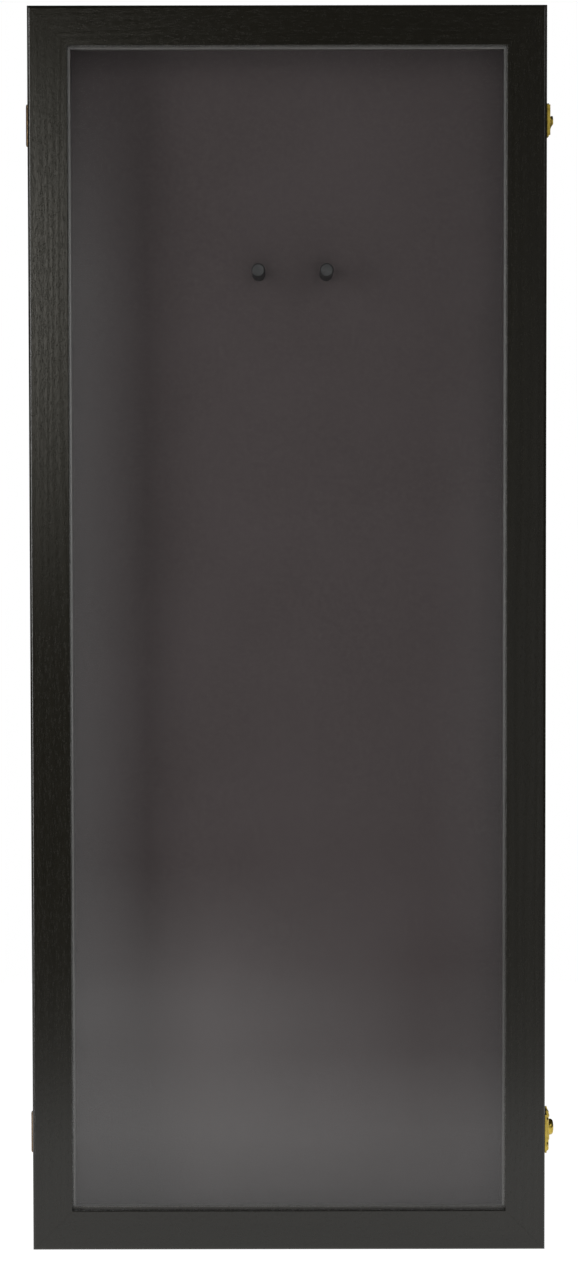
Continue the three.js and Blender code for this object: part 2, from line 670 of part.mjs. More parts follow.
const taper = drawn(polygon([
  [tabTop + 1, flapEnd - TAB_TAPER], [tabTop, flapEnd - TAB_TAPER], [bendX - 0.6, flapEnd + 1],
  [tabTop + 1, flapEnd + 1],
]), beyondTab).rotateX(Math.PI / 2).translate(0, beyondTab, 0);
const belowStop = block([-10, bendY, -flapEnd - 1], [10, beyondTab, -STOP_END]);
const flapBarrel = barrelParts(HASP_LENGTH, HASP_KNUCKLE, false);
const haspFlap = cut(
  join([cut(solid(flapStrip), [...flapBarrel.rooms, slot, solid(taper), belowStop]),
    ...flapBarrel.tubes]),
  [flapBarrel.bore],
);
hasp.add(piece('hasp_flap', geometryOf(haspFlap), brass));
hasp.add(piece('hasp_pin', pinGeometry(HASP_LENGTH), brass));
door.add(hasp);

// The lock's flange is a narrow tongue that runs back under the screws, clear of the fork.
const LOCK_FLOOR = 2;         // bottom of the lock's bore
const FLANGE_REACH = 24.2;    // from the lock's middle back to the flange's end
const lockGroup = new THREE.Group();
lockGroup.position.set(SIDE, lockY, LOCK_HEIGHT);
const flangeOutline = roundedRectangle((FLANGE_REACH - FLANGE_HALF_WIDTH) / 2, 0,
  FLANGE_REACH + FLANGE_HALF_WIDTH, 2 * FLANGE_HALF_WIDTH, 6);
const boss = alongX(turned([
  [0, GAP], [LOCK_RADIUS, GAP], [LOCK_RADIUS, LOCK_TOP - 3], [LOCK_RADIUS - 0.6, LOCK_TOP - 1.3],
  [LOCK_RADIUS - 1.8, LOCK_TOP - 0.3], [LOCK_RADIUS - 3, LOCK_TOP], [0, LOCK_TOP],
]));
const lockBore = alongX(cylinder(CYLINDER_RADIUS + GAP, LOCK_FLOOR, LOCK_TOP + 1));
const lockHoles = Object.values(LOCK_SCREWS_BACK).map((back) => (
  solid(alongX(cylinder(roundScrew.shank + GAP, -1, LOCK_FLANGE + 1, 12)).translate(0, back, 0))
));
const lockCase = cut(
  join([solid(platePart(flangeOutline, GAP, LOCK_FLANGE)), solid(boss)]),
  [solid(lockBore), ...lockHoles],
);
lockGroup.add(piece('lock_case', geometryOf(lockCase), brass));

const KEY_SLOT = [6, 1, 4];   // depth, width and height of the keyhole
const cylinderBody = alongX(cylinder(CYLINDER_RADIUS, LOCK_FLOOR + GAP, LOCK_TOP + GAP));
const keyhole = block([LOCK_TOP + GAP - KEY_SLOT[0], -KEY_SLOT[1] / 2, -KEY_SLOT[2] / 2],
  [LOCK_TOP + 1, KEY_SLOT[1] / 2, KEY_SLOT[2] / 2]);
lockGroup.add(piece('lock_cylinder', geometryOf(cut(solid(cylinderBody), [keyhole])), brass));
box.add(lockGroup);

// ---- Hanging rings and bumpers on the rear edges ----

const eyeMiddle = BOX_BACK + GAP + EYE_RADIUS;
const EYE_BORE = RING_WIRE + 0.4;

// A ring hangs from its bar along X: two straight legs and a half-round bow below them.
function ringSolid() {
  const wire = new THREE.Shape();
  wire.absarc(0, 0, RING_WIRE, 0, 2 * Math.PI);
  const bow = new THREE.CurvePath();
  const corner = (x, z) => new THREE.Vector3(x, 0, z);
  const turn = RING_RADIUS * (4 / 3) * (Math.SQRT2 - 1);
  const low = -RING_LEG - RING_RADIUS;
  bow.add(new THREE.CubicBezierCurve3(corner(-RING_RADIUS, -RING_LEG),
    corner(-RING_RADIUS, -RING_LEG - turn), corner(-turn, low), corner(0, low)));
  bow.add(new THREE.CubicBezierCurve3(corner(0, low),
    corner(turn, low), corner(RING_RADIUS, -RING_LEG - turn), corner(RING_RADIUS, -RING_LEG)));
  const bent = new THREE.ExtrudeGeometry(wire, { steps: 12, extrudePath: bow, curveSegments: 4 });
  const bar = alongX(cylinder(RING_WIRE, -RING_RADIUS, RING_RADIUS, 12));
  const legs = [-RING_RADIUS, RING_RADIUS].flatMap((x) => [
    solid(cylinder(RING_WIRE, -RING_LEG - 0.2, 0, 8).translate(x, 0, 0)),
    solid(new THREE.SphereGeometry(RING_WIRE, 12, 6).translate(x, 0, 0)),
  ]);
  return join([solid(bent), solid(bar), ...legs]);
}

for (const [side, sign] of [['left', -1], ['right', 1]]) {
  const hanger = new THREE.Group();
  hanger.position.set(sign * EDGE_MIDDLE, eyeMiddle, HANGER_HEIGHT);
  const [width, thickness, length] = STRAP;
  const strapPlate = block([-width / 2, -EYE_RADIUS, -length], [width / 2, thickness - EYE_RADIUS, 0]);
  const eye = alongX(cylinder(EYE_RADIUS, -width / 2, width / 2));
  const bore = alongX(cylinder(EYE_BORE, -width, width, 12));
  const hole = alongY(cylinder(hangerScrew.shank + GAP, -10, 10, 12))
    .translate(0, 0, -HANGER_SCREW_DROP);
  const strap = cut(join([strapPlate, solid(eye)]), [solid(bore), solid(hole)]);
  hanger.add(piece(`${side}_hanger_strap`, geometryOf(strap), steel));
  hanger.add(piece(`${side}_hanger_ring`, geometryOf(ringSolid()), steel));
  box.add(hanger);

  const bumper = alongY(turned([
    [0, 0], [BUMPER_RADIUS, 0], [BUMPER_RADIUS - 0.4, BUMPER_DEPTH - 1],
    [BUMPER_RADIUS - 1.4, BUMPER_DEPTH], [0, BUMPER_DEPTH],
  ]));
  const bumperMesh = piece(`${side}_bumper`, bumper, rubber);
  bumperMesh.position.set(sign * EDGE_MIDDLE, BOX_BACK + GAP, BUMPER_HEIGHT);
  box.add(bumperMesh);
}

// ---- All the screws ----

for (const [name, kind, material, facing, place, host] of screws) {
  const parent = host.startsWith('door') ? door : box;
  parent.add(screw(name, kind, material, facing, place));
}

const displayCase = new THREE.Group();
displayCase.add(box, door);
export default displayCase;
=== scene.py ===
"""A wall-hung display case for a guitar: a black lacquered box lined with felt, and its glazed door.

Metres, +Z up, the door faces -Y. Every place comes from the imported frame. Sizes that the frame
doesn't give are named here in millimetres.
"""

import json
import math

import bmesh
import bpy
from mathutils import Matrix, Vector

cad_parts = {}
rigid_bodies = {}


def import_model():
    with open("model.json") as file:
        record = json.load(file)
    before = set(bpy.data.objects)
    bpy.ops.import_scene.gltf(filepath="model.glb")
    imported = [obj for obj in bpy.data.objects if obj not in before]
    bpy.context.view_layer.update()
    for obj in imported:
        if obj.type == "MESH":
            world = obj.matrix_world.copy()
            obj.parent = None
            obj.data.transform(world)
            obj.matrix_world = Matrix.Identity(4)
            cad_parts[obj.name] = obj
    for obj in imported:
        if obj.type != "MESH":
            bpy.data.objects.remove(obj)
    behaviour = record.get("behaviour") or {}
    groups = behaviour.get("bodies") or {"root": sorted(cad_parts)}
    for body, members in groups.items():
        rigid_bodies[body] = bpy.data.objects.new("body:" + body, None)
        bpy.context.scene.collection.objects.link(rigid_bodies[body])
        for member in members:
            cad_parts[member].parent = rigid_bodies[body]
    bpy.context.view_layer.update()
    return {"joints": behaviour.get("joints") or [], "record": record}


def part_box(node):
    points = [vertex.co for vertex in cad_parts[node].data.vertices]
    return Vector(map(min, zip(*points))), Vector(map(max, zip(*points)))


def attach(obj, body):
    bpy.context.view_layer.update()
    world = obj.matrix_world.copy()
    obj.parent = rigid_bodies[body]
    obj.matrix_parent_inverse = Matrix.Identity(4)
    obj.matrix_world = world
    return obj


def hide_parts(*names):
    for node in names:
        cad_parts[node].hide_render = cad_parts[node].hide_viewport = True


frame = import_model()

MM = 0.001
GAP = 0.3 * MM                # room between pieces that lie against each other
ROUND = 48                    # sides of a round solid
FINE_EDGE = 0.15 * MM         # easing of metal edges

record = frame["record"]
body_of = {
    node: body
    for body, nodes in record["behaviour"]["bodies"].items()
    for node in nodes
}
pivot = {joint["name"]: Vector(joint["pos_m"]) for joint in frame["joints"]}


# ---- Camera ----

CAMERA_PLACE = Vector((0, -2.665, 0.6638))
CAMERA_LENS = 84.5
CAMERA_PITCH = math.radians(-2.48)
CAMERA_YAW = math.radians(0.019)
CAMERA_ROLL = math.radians(-0.09)


def add_camera():
    data = bpy.data.cameras.new("camera")
    data.lens = CAMERA_LENS
    data.sensor_width = 36
    camera = bpy.data.objects.new("camera", data)
    bpy.context.scene.collection.objects.link(camera)
    camera.location = CAMERA_PLACE
    aim = Vector((math.sin(CAMERA_YAW), math.cos(CAMERA_YAW), math.tan(CAMERA_PITCH)))
    roll = Matrix.Rotation(CAMERA_ROLL, 3, "Z")
    camera.rotation_euler = (aim.to_track_quat("-Z", "Y").to_matrix() @ roll).to_euler()
    bpy.context.scene.camera = camera


# ---- Solids ----

TOWARDS = {
    "+x": Matrix(((0, 0, 1), (1, 0, 0), (0, 1, 0))).to_4x4(),
    "+y": Matrix(((1, 0, 0), (0, 0, 1), (0, -1, 0))).to_4x4(),
    "-y": Matrix(((1, 0, 0), (0, 0, -1), (0, 1, 0))).to_4x4(),
    "+z": Matrix.Identity(4),
}

UPRIGHT_PLANE = Matrix(((1, 0, 0), (0, 0, 1), (0, 1, 0))).to_4x4()    # XY onto XZ, thickness along Y


def placed(direction, origin=(0, 0, 0)):
    """The matrix that lays a solid made along +Z in another direction, at the given place."""
    return Matrix.Translation(Vector(origin)) @ TOWARDS[direction]


def new_object(name, vertices, faces):
    mesh = bpy.data.meshes.new(name)
    mesh.from_pydata([tuple(vertex) for vertex in vertices], [], faces)
    work = bmesh.new()
    work.from_mesh(mesh)
    bmesh.ops.recalc_face_normals(work, faces=work.faces)
    work.to_mesh(mesh)
    work.free()
    thing = bpy.data.objects.new(name, mesh)
    bpy.context.scene.collection.objects.link(thing)
    return thing


def loft(rings, place=Matrix()):
    """A closed solid through rings of points. A ring of one point closes that end on the axis."""
    vertices = [place @ Vector(point) for ring in rings for point in ring]
    starts = [0]
    for ring in rings:
        starts.append(starts[-1] + len(ring))
    faces = []
    for first, (low, high) in enumerate(zip(rings, rings[1:])):
        a, b = starts[first], starts[first + 1]
        count = max(len(low), len(high))
        for i in range(count):
            j = (i + 1) % count
            corners = [
                a + i % len(low), a + j % len(low),
                b + j % len(high), b + i % len(high),
            ]
            faces.append(list(dict.fromkeys(corners)))
    for start, ring in ((starts[0], rings[0]), (starts[-2], rings[-1])):
        if len(ring) > 1:
            faces.append([start + i for i in range(len(ring))])
    return new_object("solid", vertices, faces)


def circle(radius, height, steps):
    if radius == 0:
        return [(0, 0, height)]
    turns = [2 * math.pi * i / steps for i in range(steps)]
    return [(radius * math.cos(turn), radius * math.sin(turn), height) for turn in turns]


def turned(profile, place=Matrix(), steps=ROUND):
    """A round solid about +Z. The profile lists (radius, height) from its bottom to its top."""
    return loft([circle(radius, height, steps) for radius, height in profile], place)


def rod(radius, low, high, place=Matrix(), steps=ROUND):
    return turned([(radius, low), (radius, high)], place, steps)


def drawn(outline, low, high, place=Matrix()):
    """An outline in the XY plane, drawn out from one height to another."""
    return loft([[(x, y, height) for x, y in outline] for height in (low, high)], place)


def block(low, high):
    outline = [(low[0], low[1]), (high[0], low[1]), (high[0], high[1]), (low[0], high[1])]
    return drawn(outline, low[2], high[2])


def rounded(corners, steps=6):
    """The outline through (x, y, radius) corners, each one turned into an arc of its radius."""
    outline = []
    for i, (x, y, radius) in enumerate(corners):
        here = Vector((x, y))
        before = (Vector(corners[i - 1][:2]) - here).normalized()
        after = (Vector(corners[(i + 1) % len(corners)][:2]) - here).normalized()
        if radius == 0:
            outline.append(here)
            continue
        half = before.angle(after) / 2
        middle = here + (before + after).normalized() * radius / math.sin(half)
        start = here + before * radius / math.tan(half) - middle
        end = here + after * radius / math.tan(half) - middle
        for step in range(steps + 1):
            turn = start.angle_signed(end) * step / steps
            outline.append(middle + Matrix.Rotation(-turn, 2) @ start)
    return outline


def rounded_box(x, y, width, height, radius, steps=8):
    """The outline of a rectangle about (x, y) with round corners."""
    left, right = x - width / 2, x + width / 2
    bottom, top = y - height / 2, y + height / 2
    corners = [(left, bottom), (right, bottom), (right, top), (left, top)]
    return rounded([(*corner, radius) for corner in corners], steps)


def settle(thing):
    """Applies the modifiers of a piece to its mesh."""
    graph = bpy.context.evaluated_depsgraph_get()
    mesh = bpy.data.meshes.new_from_object(thing.evaluated_get(graph))
    thing.modifiers.clear()
    thing.data = mesh
    return thing


def combine(solid, others, operation):
    for other in others:
        step = solid.modifiers.new("step", "BOOLEAN")
        step.operation = operation
        step.solver = "EXACT"
        step.object = other
    settle(solid)
    for other in others:
        bpy.data.objects.remove(other)
    return solid


def join(solid, *others):
    return combine(solid, others, "UNION")


def cut(solid, *others):
    return combine(solid, others, "DIFFERENCE")


def eased(solid, width, steps=2):
    """Rounds the sharp edges of a solid."""
    soften = solid.modifiers.new("soften", "BEVEL")
    soften.width = width
    soften.segments = steps
    soften.limit_method = "ANGLE"
    soften.angle_limit = math.radians(38)
    return settle(solid)


def finish_piece(solid, node, look, name=None):
    """Gives a piece its shading and its material, and lets it stand for its CAD node."""
    solid.name = name or f"fine_{node}"
    solid.data.name = solid.name
    solid.data.shade_smooth()
    solid.data.set_sharp_from_angle(angle=math.radians(40))
    weigh = solid.modifiers.new("weigh", "WEIGHTED_NORMAL")
    weigh.keep_sharp = True
    settle(solid)
    solid.data.materials.clear()
    solid.data.materials.append(look)
    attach(solid, body_of[node])
    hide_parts(node)
    return solid


# ---- Materials ----

class Look:
    """A material in the making, with short calls that add nodes and join them."""

    def __init__(self, name):
        self.material = bpy.data.materials.new(name)
        self.material.use_nodes = True
        self.tree = self.material.node_tree
        self.tree.nodes.clear()
        self.place = self.add("TexCoord").outputs["Object"]

    def add(self, kind, inputs=None, **settings):
        node = self.tree.nodes.new("ShaderNode" + kind)
        for key, value in settings.items():
            setattr(node, key, value)
        for key, value in (inputs or {}).items():
            if isinstance(value, bpy.types.NodeSocket):
                self.tree.links.new(value, node.inputs[key])
            else:
                node.inputs[key].default_value = value
        return node

    def stretched(self, scale, turn=(0, 0, 0)):
        inputs = {"Vector": self.place, "Scale": scale, "Rotation": turn}
        return self.add("Mapping", inputs).outputs["Vector"]

    def noise(self, scale, detail=2.0, place=None, warp=0.0):
        inputs = {
            "Vector": place or self.place, "Scale": scale, "Detail": detail, "Distortion": warp,
        }
        return self.add("TexNoise", inputs).outputs["Fac"]

    def math(self, operation, first, second=0.0):
        return self.add("Math", {0: first, 1: second}, operation=operation).outputs[0]

    def spread(self, value, low, high, start=0.0, end=1.0):
        """Maps low..high of a value onto start..end, and holds it there."""
        inputs = {
            "Value": value, "From Min": low, "From Max": high, "To Min": start, "To Max": end,
        }
        return self.add("MapRange", inputs).outputs["Result"]

    def blend(self, share, first, second):
        node = self.add("Mix", {0: share, 6: first, 7: second}, data_type="RGBA")
        return node.outputs[2]

    def bump(self, height, distance, normal=None):
        inputs = {"Height": height, "Distance": distance, "Strength": 1.0}
        if normal:
            inputs["Normal"] = normal
        return self.add("Bump", inputs).outputs["Normal"]

    def edges(self, width, low=0.01, high=0.15):
        """1 on edges narrower than the width, 0 on flat faces."""
        smooth = self.add("Bevel", {"Radius": width}, samples=4).outputs["Normal"]
        true = self.add("NewGeometry").outputs["Normal"]
        same = self.add("VectorMath", {0: smooth, 1: true}, operation="DOT_PRODUCT").outputs["Value"]
        return self.spread(self.math("SUBTRACT", 1.0, same), low, high)

    def finish(self, **inputs):
        """A principled shader with these inputs. Underscores in their names stand for spaces."""
        named = {key.replace("_", " "): value for key, value in inputs.items()}
        shader = self.add("BsdfPrincipled", named)
        return self.output(shader.outputs[0])

    def output(self, surface):
        self.add("OutputMaterial", {"Surface": surface})
        return self.material


def lacquer(name, along):
    """Black satin lacquer over flat-sawn wood whose grain runs along the given axis."""
    look = Look(name)
    fibre = look.stretched({"x": (0.045, 1, 1), "z": (1, 1, 0.045)}[along], (0, 0.01, 0))
    wander = look.noise(26, 3, fibre, 0.4)
    rings = look.add("TexWave", {
        "Vector": fibre, "Scale": 46, "Distortion": 9, "Detail": 3, "Detail Scale": 1.2,
    }, wave_type="RINGS", rings_direction=along.upper()).outputs["Fac"]
    grain = look.math("MULTIPLY", rings, look.spread(wander, 0.3, 0.7, 0.3, 1.0))
    pores = look.noise(1500, 2, look.stretched({"x": (0.12, 1, 1), "z": (1, 1, 0.12)}[along]))
    pits = look.spread(pores, 0.38, 0.5, 1.0, 0.0)
    peel = look.noise(330, 2)
    speckle = look.noise(900, 3)
    worn = look.math("MULTIPLY", look.edges(1.2 * MM), look.spread(look.noise(160, 4), 0.45, 0.7))
    dark = look.blend(grain, (0.0102, 0.0092, 0.0062, 1), (0.0124, 0.0113, 0.0078, 1))
    colour = look.blend(look.math("MULTIPLY", worn, 0.35), dark, (0.035, 0.028, 0.02, 1))
    rough = look.math("ADD", look.spread(speckle, 0.3, 0.7, 0.13, 0.21),
                      look.math("MULTIPLY", pits, 0.1))
    normal = look.bump(peel, 0.035 * MM)
    normal = look.bump(speckle, 0.022 * MM, normal)
    normal = look.bump(grain, 0.03 * MM, normal)
    normal = look.bump(pits, -0.015 * MM, normal)
    return look.finish(Base_Color=colour, Roughness=rough, Normal=normal)


def bead_paint():
    """Thin grey-black paint over the beads' fine grain, made lighter than the frame's lacquer as a painted
    highlight for the light the beads catch.
    """
    look = Look("bead_paint")
    grain = look.noise(700, 3, look.stretched((1, 1, 0.2)))
    chips = look.spread(look.noise(420, 3), 0.6, 0.72)
    dark = look.blend(grain, (0.045, 0.042, 0.038, 1), (0.075, 0.07, 0.064, 1))
    colour = look.blend(look.math("MULTIPLY", chips, 0.4), dark, (0.1, 0.09, 0.078, 1))
    rough = look.spread(grain, 0.3, 0.7, 0.28, 0.42)
    return look.finish(Base_Color=colour, Roughness=rough, Normal=look.bump(grain, 0.03 * MM))


def bare_wood():
    look = Look("bare_wood")
    fibre = look.stretched((0.06, 1, 1))
    grain = look.noise(220, 4, fibre, 0.6)
    pores = look.spread(look.noise(1400, 2, fibre), 0.36, 0.46, 1.0, 0.0)
    pale = look.blend(grain, (0.46, 0.3, 0.15, 1), (0.3, 0.175, 0.075, 1))
    colour = look.blend(look.math("MULTIPLY", pores, 0.6), pale, (0.16, 0.085, 0.035, 1))
    normal = look.bump(grain, 0.08 * MM)
    normal = look.bump(pores, -0.05 * MM, normal)
    return look.finish(Base_Color=colour, Roughness=look.spread(grain, 0.3, 0.7, 0.55, 0.75), Normal=normal)


def hardboard():
    """Pressed fibres: matted strands of two sizes, dark brown."""
    look = Look("hardboard")
    strands = look.noise(420, 5, None, 2.5)
    mats = look.noise(70, 3)
    colour = look.blend(strands, (0.013, 0.009, 0.007, 1), (0.04, 0.029, 0.021, 1))
    colour = look.blend(look.spread(mats, 0.4, 0.65, 0, 0.35), colour, (0.05, 0.037, 0.028, 1))
    rough = look.spread(strands, 0.3, 0.7, 0.6, 0.85)
    return look.finish(Base_Color=colour, Roughness=rough, Normal=look.bump(strands, 0.15 * MM))


def felt():
    """Charcoal felt: matted wool with paler stray fibres and a soft nap."""
    look = Look("felt")
    mat = look.noise(2100, 4, None, 1.2)
    nap = look.noise(260, 3, None, 0.8)
    cloud = look.noise(9, 2)
    lint = look.spread(look.noise(1300, 1, look.stretched((1, 1, 0.25)), 3.0), 0.68, 0.76)
    colour = look.blend(mat, (0.036, 0.0284, 0.0284, 1), (0.072, 0.059, 0.0578, 1))
    colour = look.blend(look.spread(nap, 0.35, 0.65, 0, 0.35), colour, (0.03, 0.024, 0.025, 1))
    colour = look.blend(look.spread(cloud, 0.35, 0.65, 0, 0.18), colour, (0.075, 0.062, 0.064, 1))
    colour = look.blend(look.math("MULTIPLY", lint, 0.4), colour, (0.16, 0.14, 0.14, 1))
    normal = look.bump(mat, 0.25 * MM)
    normal = look.bump(nap, 0.12 * MM, normal)
    return look.finish(
        Base_Color=colour, Roughness=0.95, Specular_IOR_Level=0.15, Normal=normal,
        Sheen_Weight=0.25, Sheen_Roughness=0.5, Sheen_Tint=(0.7, 0.62, 0.66, 1),
    )


def acrylic():
    """Clear sheet: it lets light straight through and mirrors more of it at a slant."""
    look = Look("acrylic")
    slant = look.add("LayerWeight", {"Blend": 0.5}).outputs["Facing"]
    mirror = look.math("ADD", look.math("MULTIPLY", look.math("POWER", slant, 5.0), 0.96), 0.04)
    smudge = look.noise(24, 5, None, 1.5)
    rough = look.spread(smudge, 0.5, 0.75, 0.012, 0.07)
    wave = look.bump(look.noise(14, 1), 0.02 * MM)
    clear = look.add("BsdfTransparent", {"Color": (0.985, 0.99, 0.99, 1)}).outputs[0]
    gloss = look.add("BsdfGlossy", {"Roughness": rough, "Normal": wave}).outputs[0]
    film = look.add("BsdfDiffuse", {"Color": (0.8, 0.8, 0.82, 1)}).outputs[0]
    dust = look.spread(look.noise(1900, 2), 0.55, 0.8, 0.002, 0.012)
    dusty = look.add("MixShader", {0: dust, 1: clear, 2: film}).outputs[0]
    return look.output(look.add("MixShader", {0: mirror, 1: dusty, 2: gloss}).outputs[0])


def metal(name, bright, dull, worn, smooth):
    """Plated metal: fine scratches, dull blotches and polish worn along the edges."""
    look = Look(name)
    blotch = look.noise(300, 4, None, 0.8)
    scratch = look.noise(2600, 2, look.stretched((1, 1, 0.04)))
    edge = look.math("MULTIPLY", look.edges(0.5 * MM), look.spread(look.noise(700, 3), 0.3, 0.6))
    colour = look.blend(look.spread(blotch, 0.4, 0.72), bright, dull)
    colour = look.blend(look.math("MULTIPLY", edge, 0.7), colour, worn)
    rough = look.math("ADD", look.spread(blotch, 0.3, 0.7, smooth, smooth + 0.16),
                      look.spread(scratch, 0.4, 0.7, -0.04, 0.08))
    normal = look.bump(scratch, 0.006 * MM)
    normal = look.bump(blotch, 0.02 * MM, normal)
    return look.finish(Base_Color=colour, Metallic=1.0, Roughness=rough, Normal=normal)


def rubber():
    look = Look("rubber")
    grit = look.noise(1800, 3)
    bloom = look.noise(240, 3)
    colour = look.blend(look.spread(bloom, 0.4, 0.7), (0.008, 0.008, 0.008, 1), (0.022, 0.021, 0.021, 1))
    rough = look.spread(grit, 0.3, 0.7, 0.5, 0.75)
    normal = look.bump(grit, 0.05 * MM)
    return look.finish(Base_Color=colour, Roughness=rough, Normal=normal)


UPRIGHT = lacquer("lacquer_upright", "z")
LEVEL = lacquer("lacquer_level", "x")
BARE_WOOD = bare_wood()
HARDBOARD = hardboard()
FELT = felt()
ACRYLIC = acrylic()
# painted highlight: the beads' grey is lighter than the frame's black to stand for the light on them
BEAD_PAINT_AND_HIGHLIGHT = bead_paint()
BRASS = metal("brass", (0.66, 0.49, 0.09, 1), (0.34, 0.24, 0.045, 1), (0.8, 0.66, 0.26, 1), 0.2)
# painted shade: the hinges' brass is much darker than the catch's, partly an aged patina and partly the
# shade on the case's left side painted into its colour
AGED_AND_SHADED_BRASS = metal("aged_brass", (0.17, 0.105, 0.055, 1), (0.075, 0.045, 0.024, 1),
                   (0.4, 0.3, 0.16, 1), 0.3)
STEEL = metal("zinc_steel", (0.5, 0.51, 0.53, 1), (0.3, 0.31, 0.33, 1), (0.62, 0.62, 0.63, 1), 0.26)
RUBBER = rubber()


# ---- Screws ----

# A screw lies along +Z: its head's seat is at z = 0 and its point is below.
ROUND_SCREW = {"shank": 1.3, "length": 11, "head": 2.4, "rise": 1.9}
CATCH_SCREW = {"shank": 1.3, "length": 11, "head": 2.4, "rise": 1.6}
HINGE_SCREW = {"shank": 1.1, "length": 10, "head": 2.1, "sink": 1.1}
HANGER_SCREW = {"shank": 1.7, "length": 18, "head": 3.0, "rise": 2.0}
PEG_SCREW = {"shank": 1.9, "length": 26, "head": 3.6, "rise": 2.2}
POINT = 2.5 * MM
SLOT_WIDTH = 0.7 * MM
SLOT_DEPTH = 0.7 * MM
THREAD = 1.0 * MM             # from one turn of the thread to the next
THREAD_SIDES = 24
THREAD_RINGS = 6              # rings of points for each turn
SCREW_ROOM = 0.25             # a hole's radius beyond its screw's
THROUGH = 20 * MM             # longer than any hole through a plate or panel


def thread_ring(height, top, length, radius):
    """One ring of a screw's thread, which tapers away at the point."""
    taper = min(1, (height + length) / POINT)
    depth = 0.22 * radius if height < top else 0
    ring = []
    for i in range(THREAD_SIDES):
        share = i / THREAD_SIDES
        phase = (height / THREAD - share) % 1
        size = taper * (radius - depth * min(1, 2.4 * abs(phase - 0.5)))
        turn = 2 * math.pi * share
        ring.append((size * math.cos(turn), size * math.sin(turn), height))
    return ring


def screw_solid(kind, place):
    radius, length, head = (kind[key] * MM for key in ("shank", "length", "head"))
    rise, sink = kind.get("rise", 0) * MM, kind.get("sink", 0) * MM
    neck = -sink - 1.5 * MM
    count = int((length + neck) / THREAD * THREAD_RINGS)
    rings = [[(0, 0, -length)]]
    for i in range(1, count + 1):
        rings.append(thread_ring(-length + i * (length + neck) / count, neck, length, radius))
    rings.append(circle(radius, -sink, THREAD_SIDES))
    shank = loft(rings + [[(0, 0, -sink)]], place)
    if rise:
        dome = [(0, 0), (head * 0.96, 0), (head, 0.12 * rise)]
        dome += [
            (head * math.cos(turn), rise * (0.12 + 0.88 * math.sin(turn)))
            for turn in (math.radians(angle) for angle in range(15, 90, 15))
        ]
        dome.append((0, rise))
    else:
        dome = [(0, -sink - 0.2 * MM), (radius, -sink - 0.2 * MM), (head, -0.15 * MM), (head, 0), (0, 0)]
    cap = turned(dome, place)
    slot = block((-SLOT_WIDTH / 2, -head * 1.1, rise - SLOT_DEPTH), (SLOT_WIDTH / 2, head * 1.1, rise + MM))
    slot.data.transform(place)
    cap = eased(cut(cap, slot), 0.08 * MM)
    return join(cap, shank) if rise else join(shank, cap)


def hole_radius(kind):
    return (kind["shank"] + SCREW_ROOM) * MM


def seat(node, facing, kind):
    """Where a screw's head meets its plate, from the box of its CAD node."""
    low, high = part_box(node)
    place = (low + high) / 2
    rise = kind.get("rise", 0) * MM
    if facing == "+x":
        place.x = high.x - rise
    elif facing == "+y":
        place.y = high.y - rise
    else:
        place.y = low.y + rise
    return place


def add_screw(node, kind, facing, look):
    finish_piece(screw_solid(kind, placed(facing, seat(node, facing, kind))), node, look)


def add_screws():
    for end in ("upper", "lower"):
        add_screw(f"catch_screw_{end}", CATCH_SCREW, "+x", BRASS)
        add_screw(f"keeper_screw_{end}", CATCH_SCREW, "+x", BRASS)
        add_screw(f"hasp_screw_{end}", ROUND_SCREW, "+x", BRASS)
        for level in ("upper", "lower"):
            add_screw(f"{level}_hinge_door_screw_{end}", HINGE_SCREW, "+y", AGED_AND_SHADED_BRASS)
            add_screw(f"{level}_hinge_box_screw_{end}", HINGE_SCREW, "-y", AGED_AND_SHADED_BRASS)
    for end in ("front", "rear"):
        add_screw(f"lock_screw_{end}", ROUND_SCREW, "+x", BRASS)
    for side in ("left", "right"):
        add_screw(f"{side}_hanger_screw", HANGER_SCREW, "+y", STEEL)
        add_screw(f"{side}_peg_screw", PEG_SCREW, "+y", STEEL)


# ---- The mitred frames ----

JOINT = 0.06 * MM             # hairline at a mitre


def frame_side(side, section, outer):
    """One side of a mitred frame. The section's points are (inwards, depth), and outer is the
    frame's outer rectangle: left, right, bottom, top."""
    left, right, bottom, top = outer

    def ends(inwards):
        room = inwards + JOINT
        if side in ("left", "right"):
            return bottom + room, top - room
        return left + room, right - room

    def point(inwards, depth, end):
        along = ends(inwards)[end]
        return {
            "left": (left + inwards, depth, along),
            "right": (right - inwards, depth, along),
            "bottom": (along, depth, bottom + inwards),
            "top": (along, depth, top - inwards),
        }[side]

    return loft([[point(inwards, depth, end) for inwards, depth in section] for end in (0, 1)])


def outer_rectangle(left, right, bottom, top):
    """The outer rectangle of a frame from its four nodes."""
    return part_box(left)[0].x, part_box(right)[1].x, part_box(bottom)[0].z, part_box(top)[1].z


def screw_bores(nodes, kind, facing):
    """Pilot holes for screws, a little wider than their threads."""
    deep = kind["length"] * MM + GAP
    return [
        rod(hole_radius(kind), -deep, MM, placed(facing, seat(node, facing, kind)), 16)
        for node in nodes
    ]


def hinge_rooms(leaf_kind):
    """Room in the wood for both hinges' barrels, and the mortises for one leaf of each."""
    rooms = []
    for level in ("upper", "lower"):
        low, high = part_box(f"{level}_hinge_{leaf_kind}_leaf")
        pin_low, pin_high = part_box(f"{level}_hinge_pin")
        axis = pivot["door_swing"]
        place = Matrix.Translation(Vector((axis.x, axis.y, 0)))
        rooms.append(rod(KNUCKLE + KNUCKLE_ROOM, pin_low.z - GAP, pin_high.z + GAP, place))
        if leaf_kind == "door":
            near = axis.y - (LEAF + LEAF_LIFT + GAP)
            far = axis.y
        else:
            near = axis.y
            far = axis.y + LEAF + LEAF_LIFT + GAP
        rooms.append(block((axis.x, near, low.z - GAP), (high.x + GAP, far, high.z + GAP)))
    return rooms


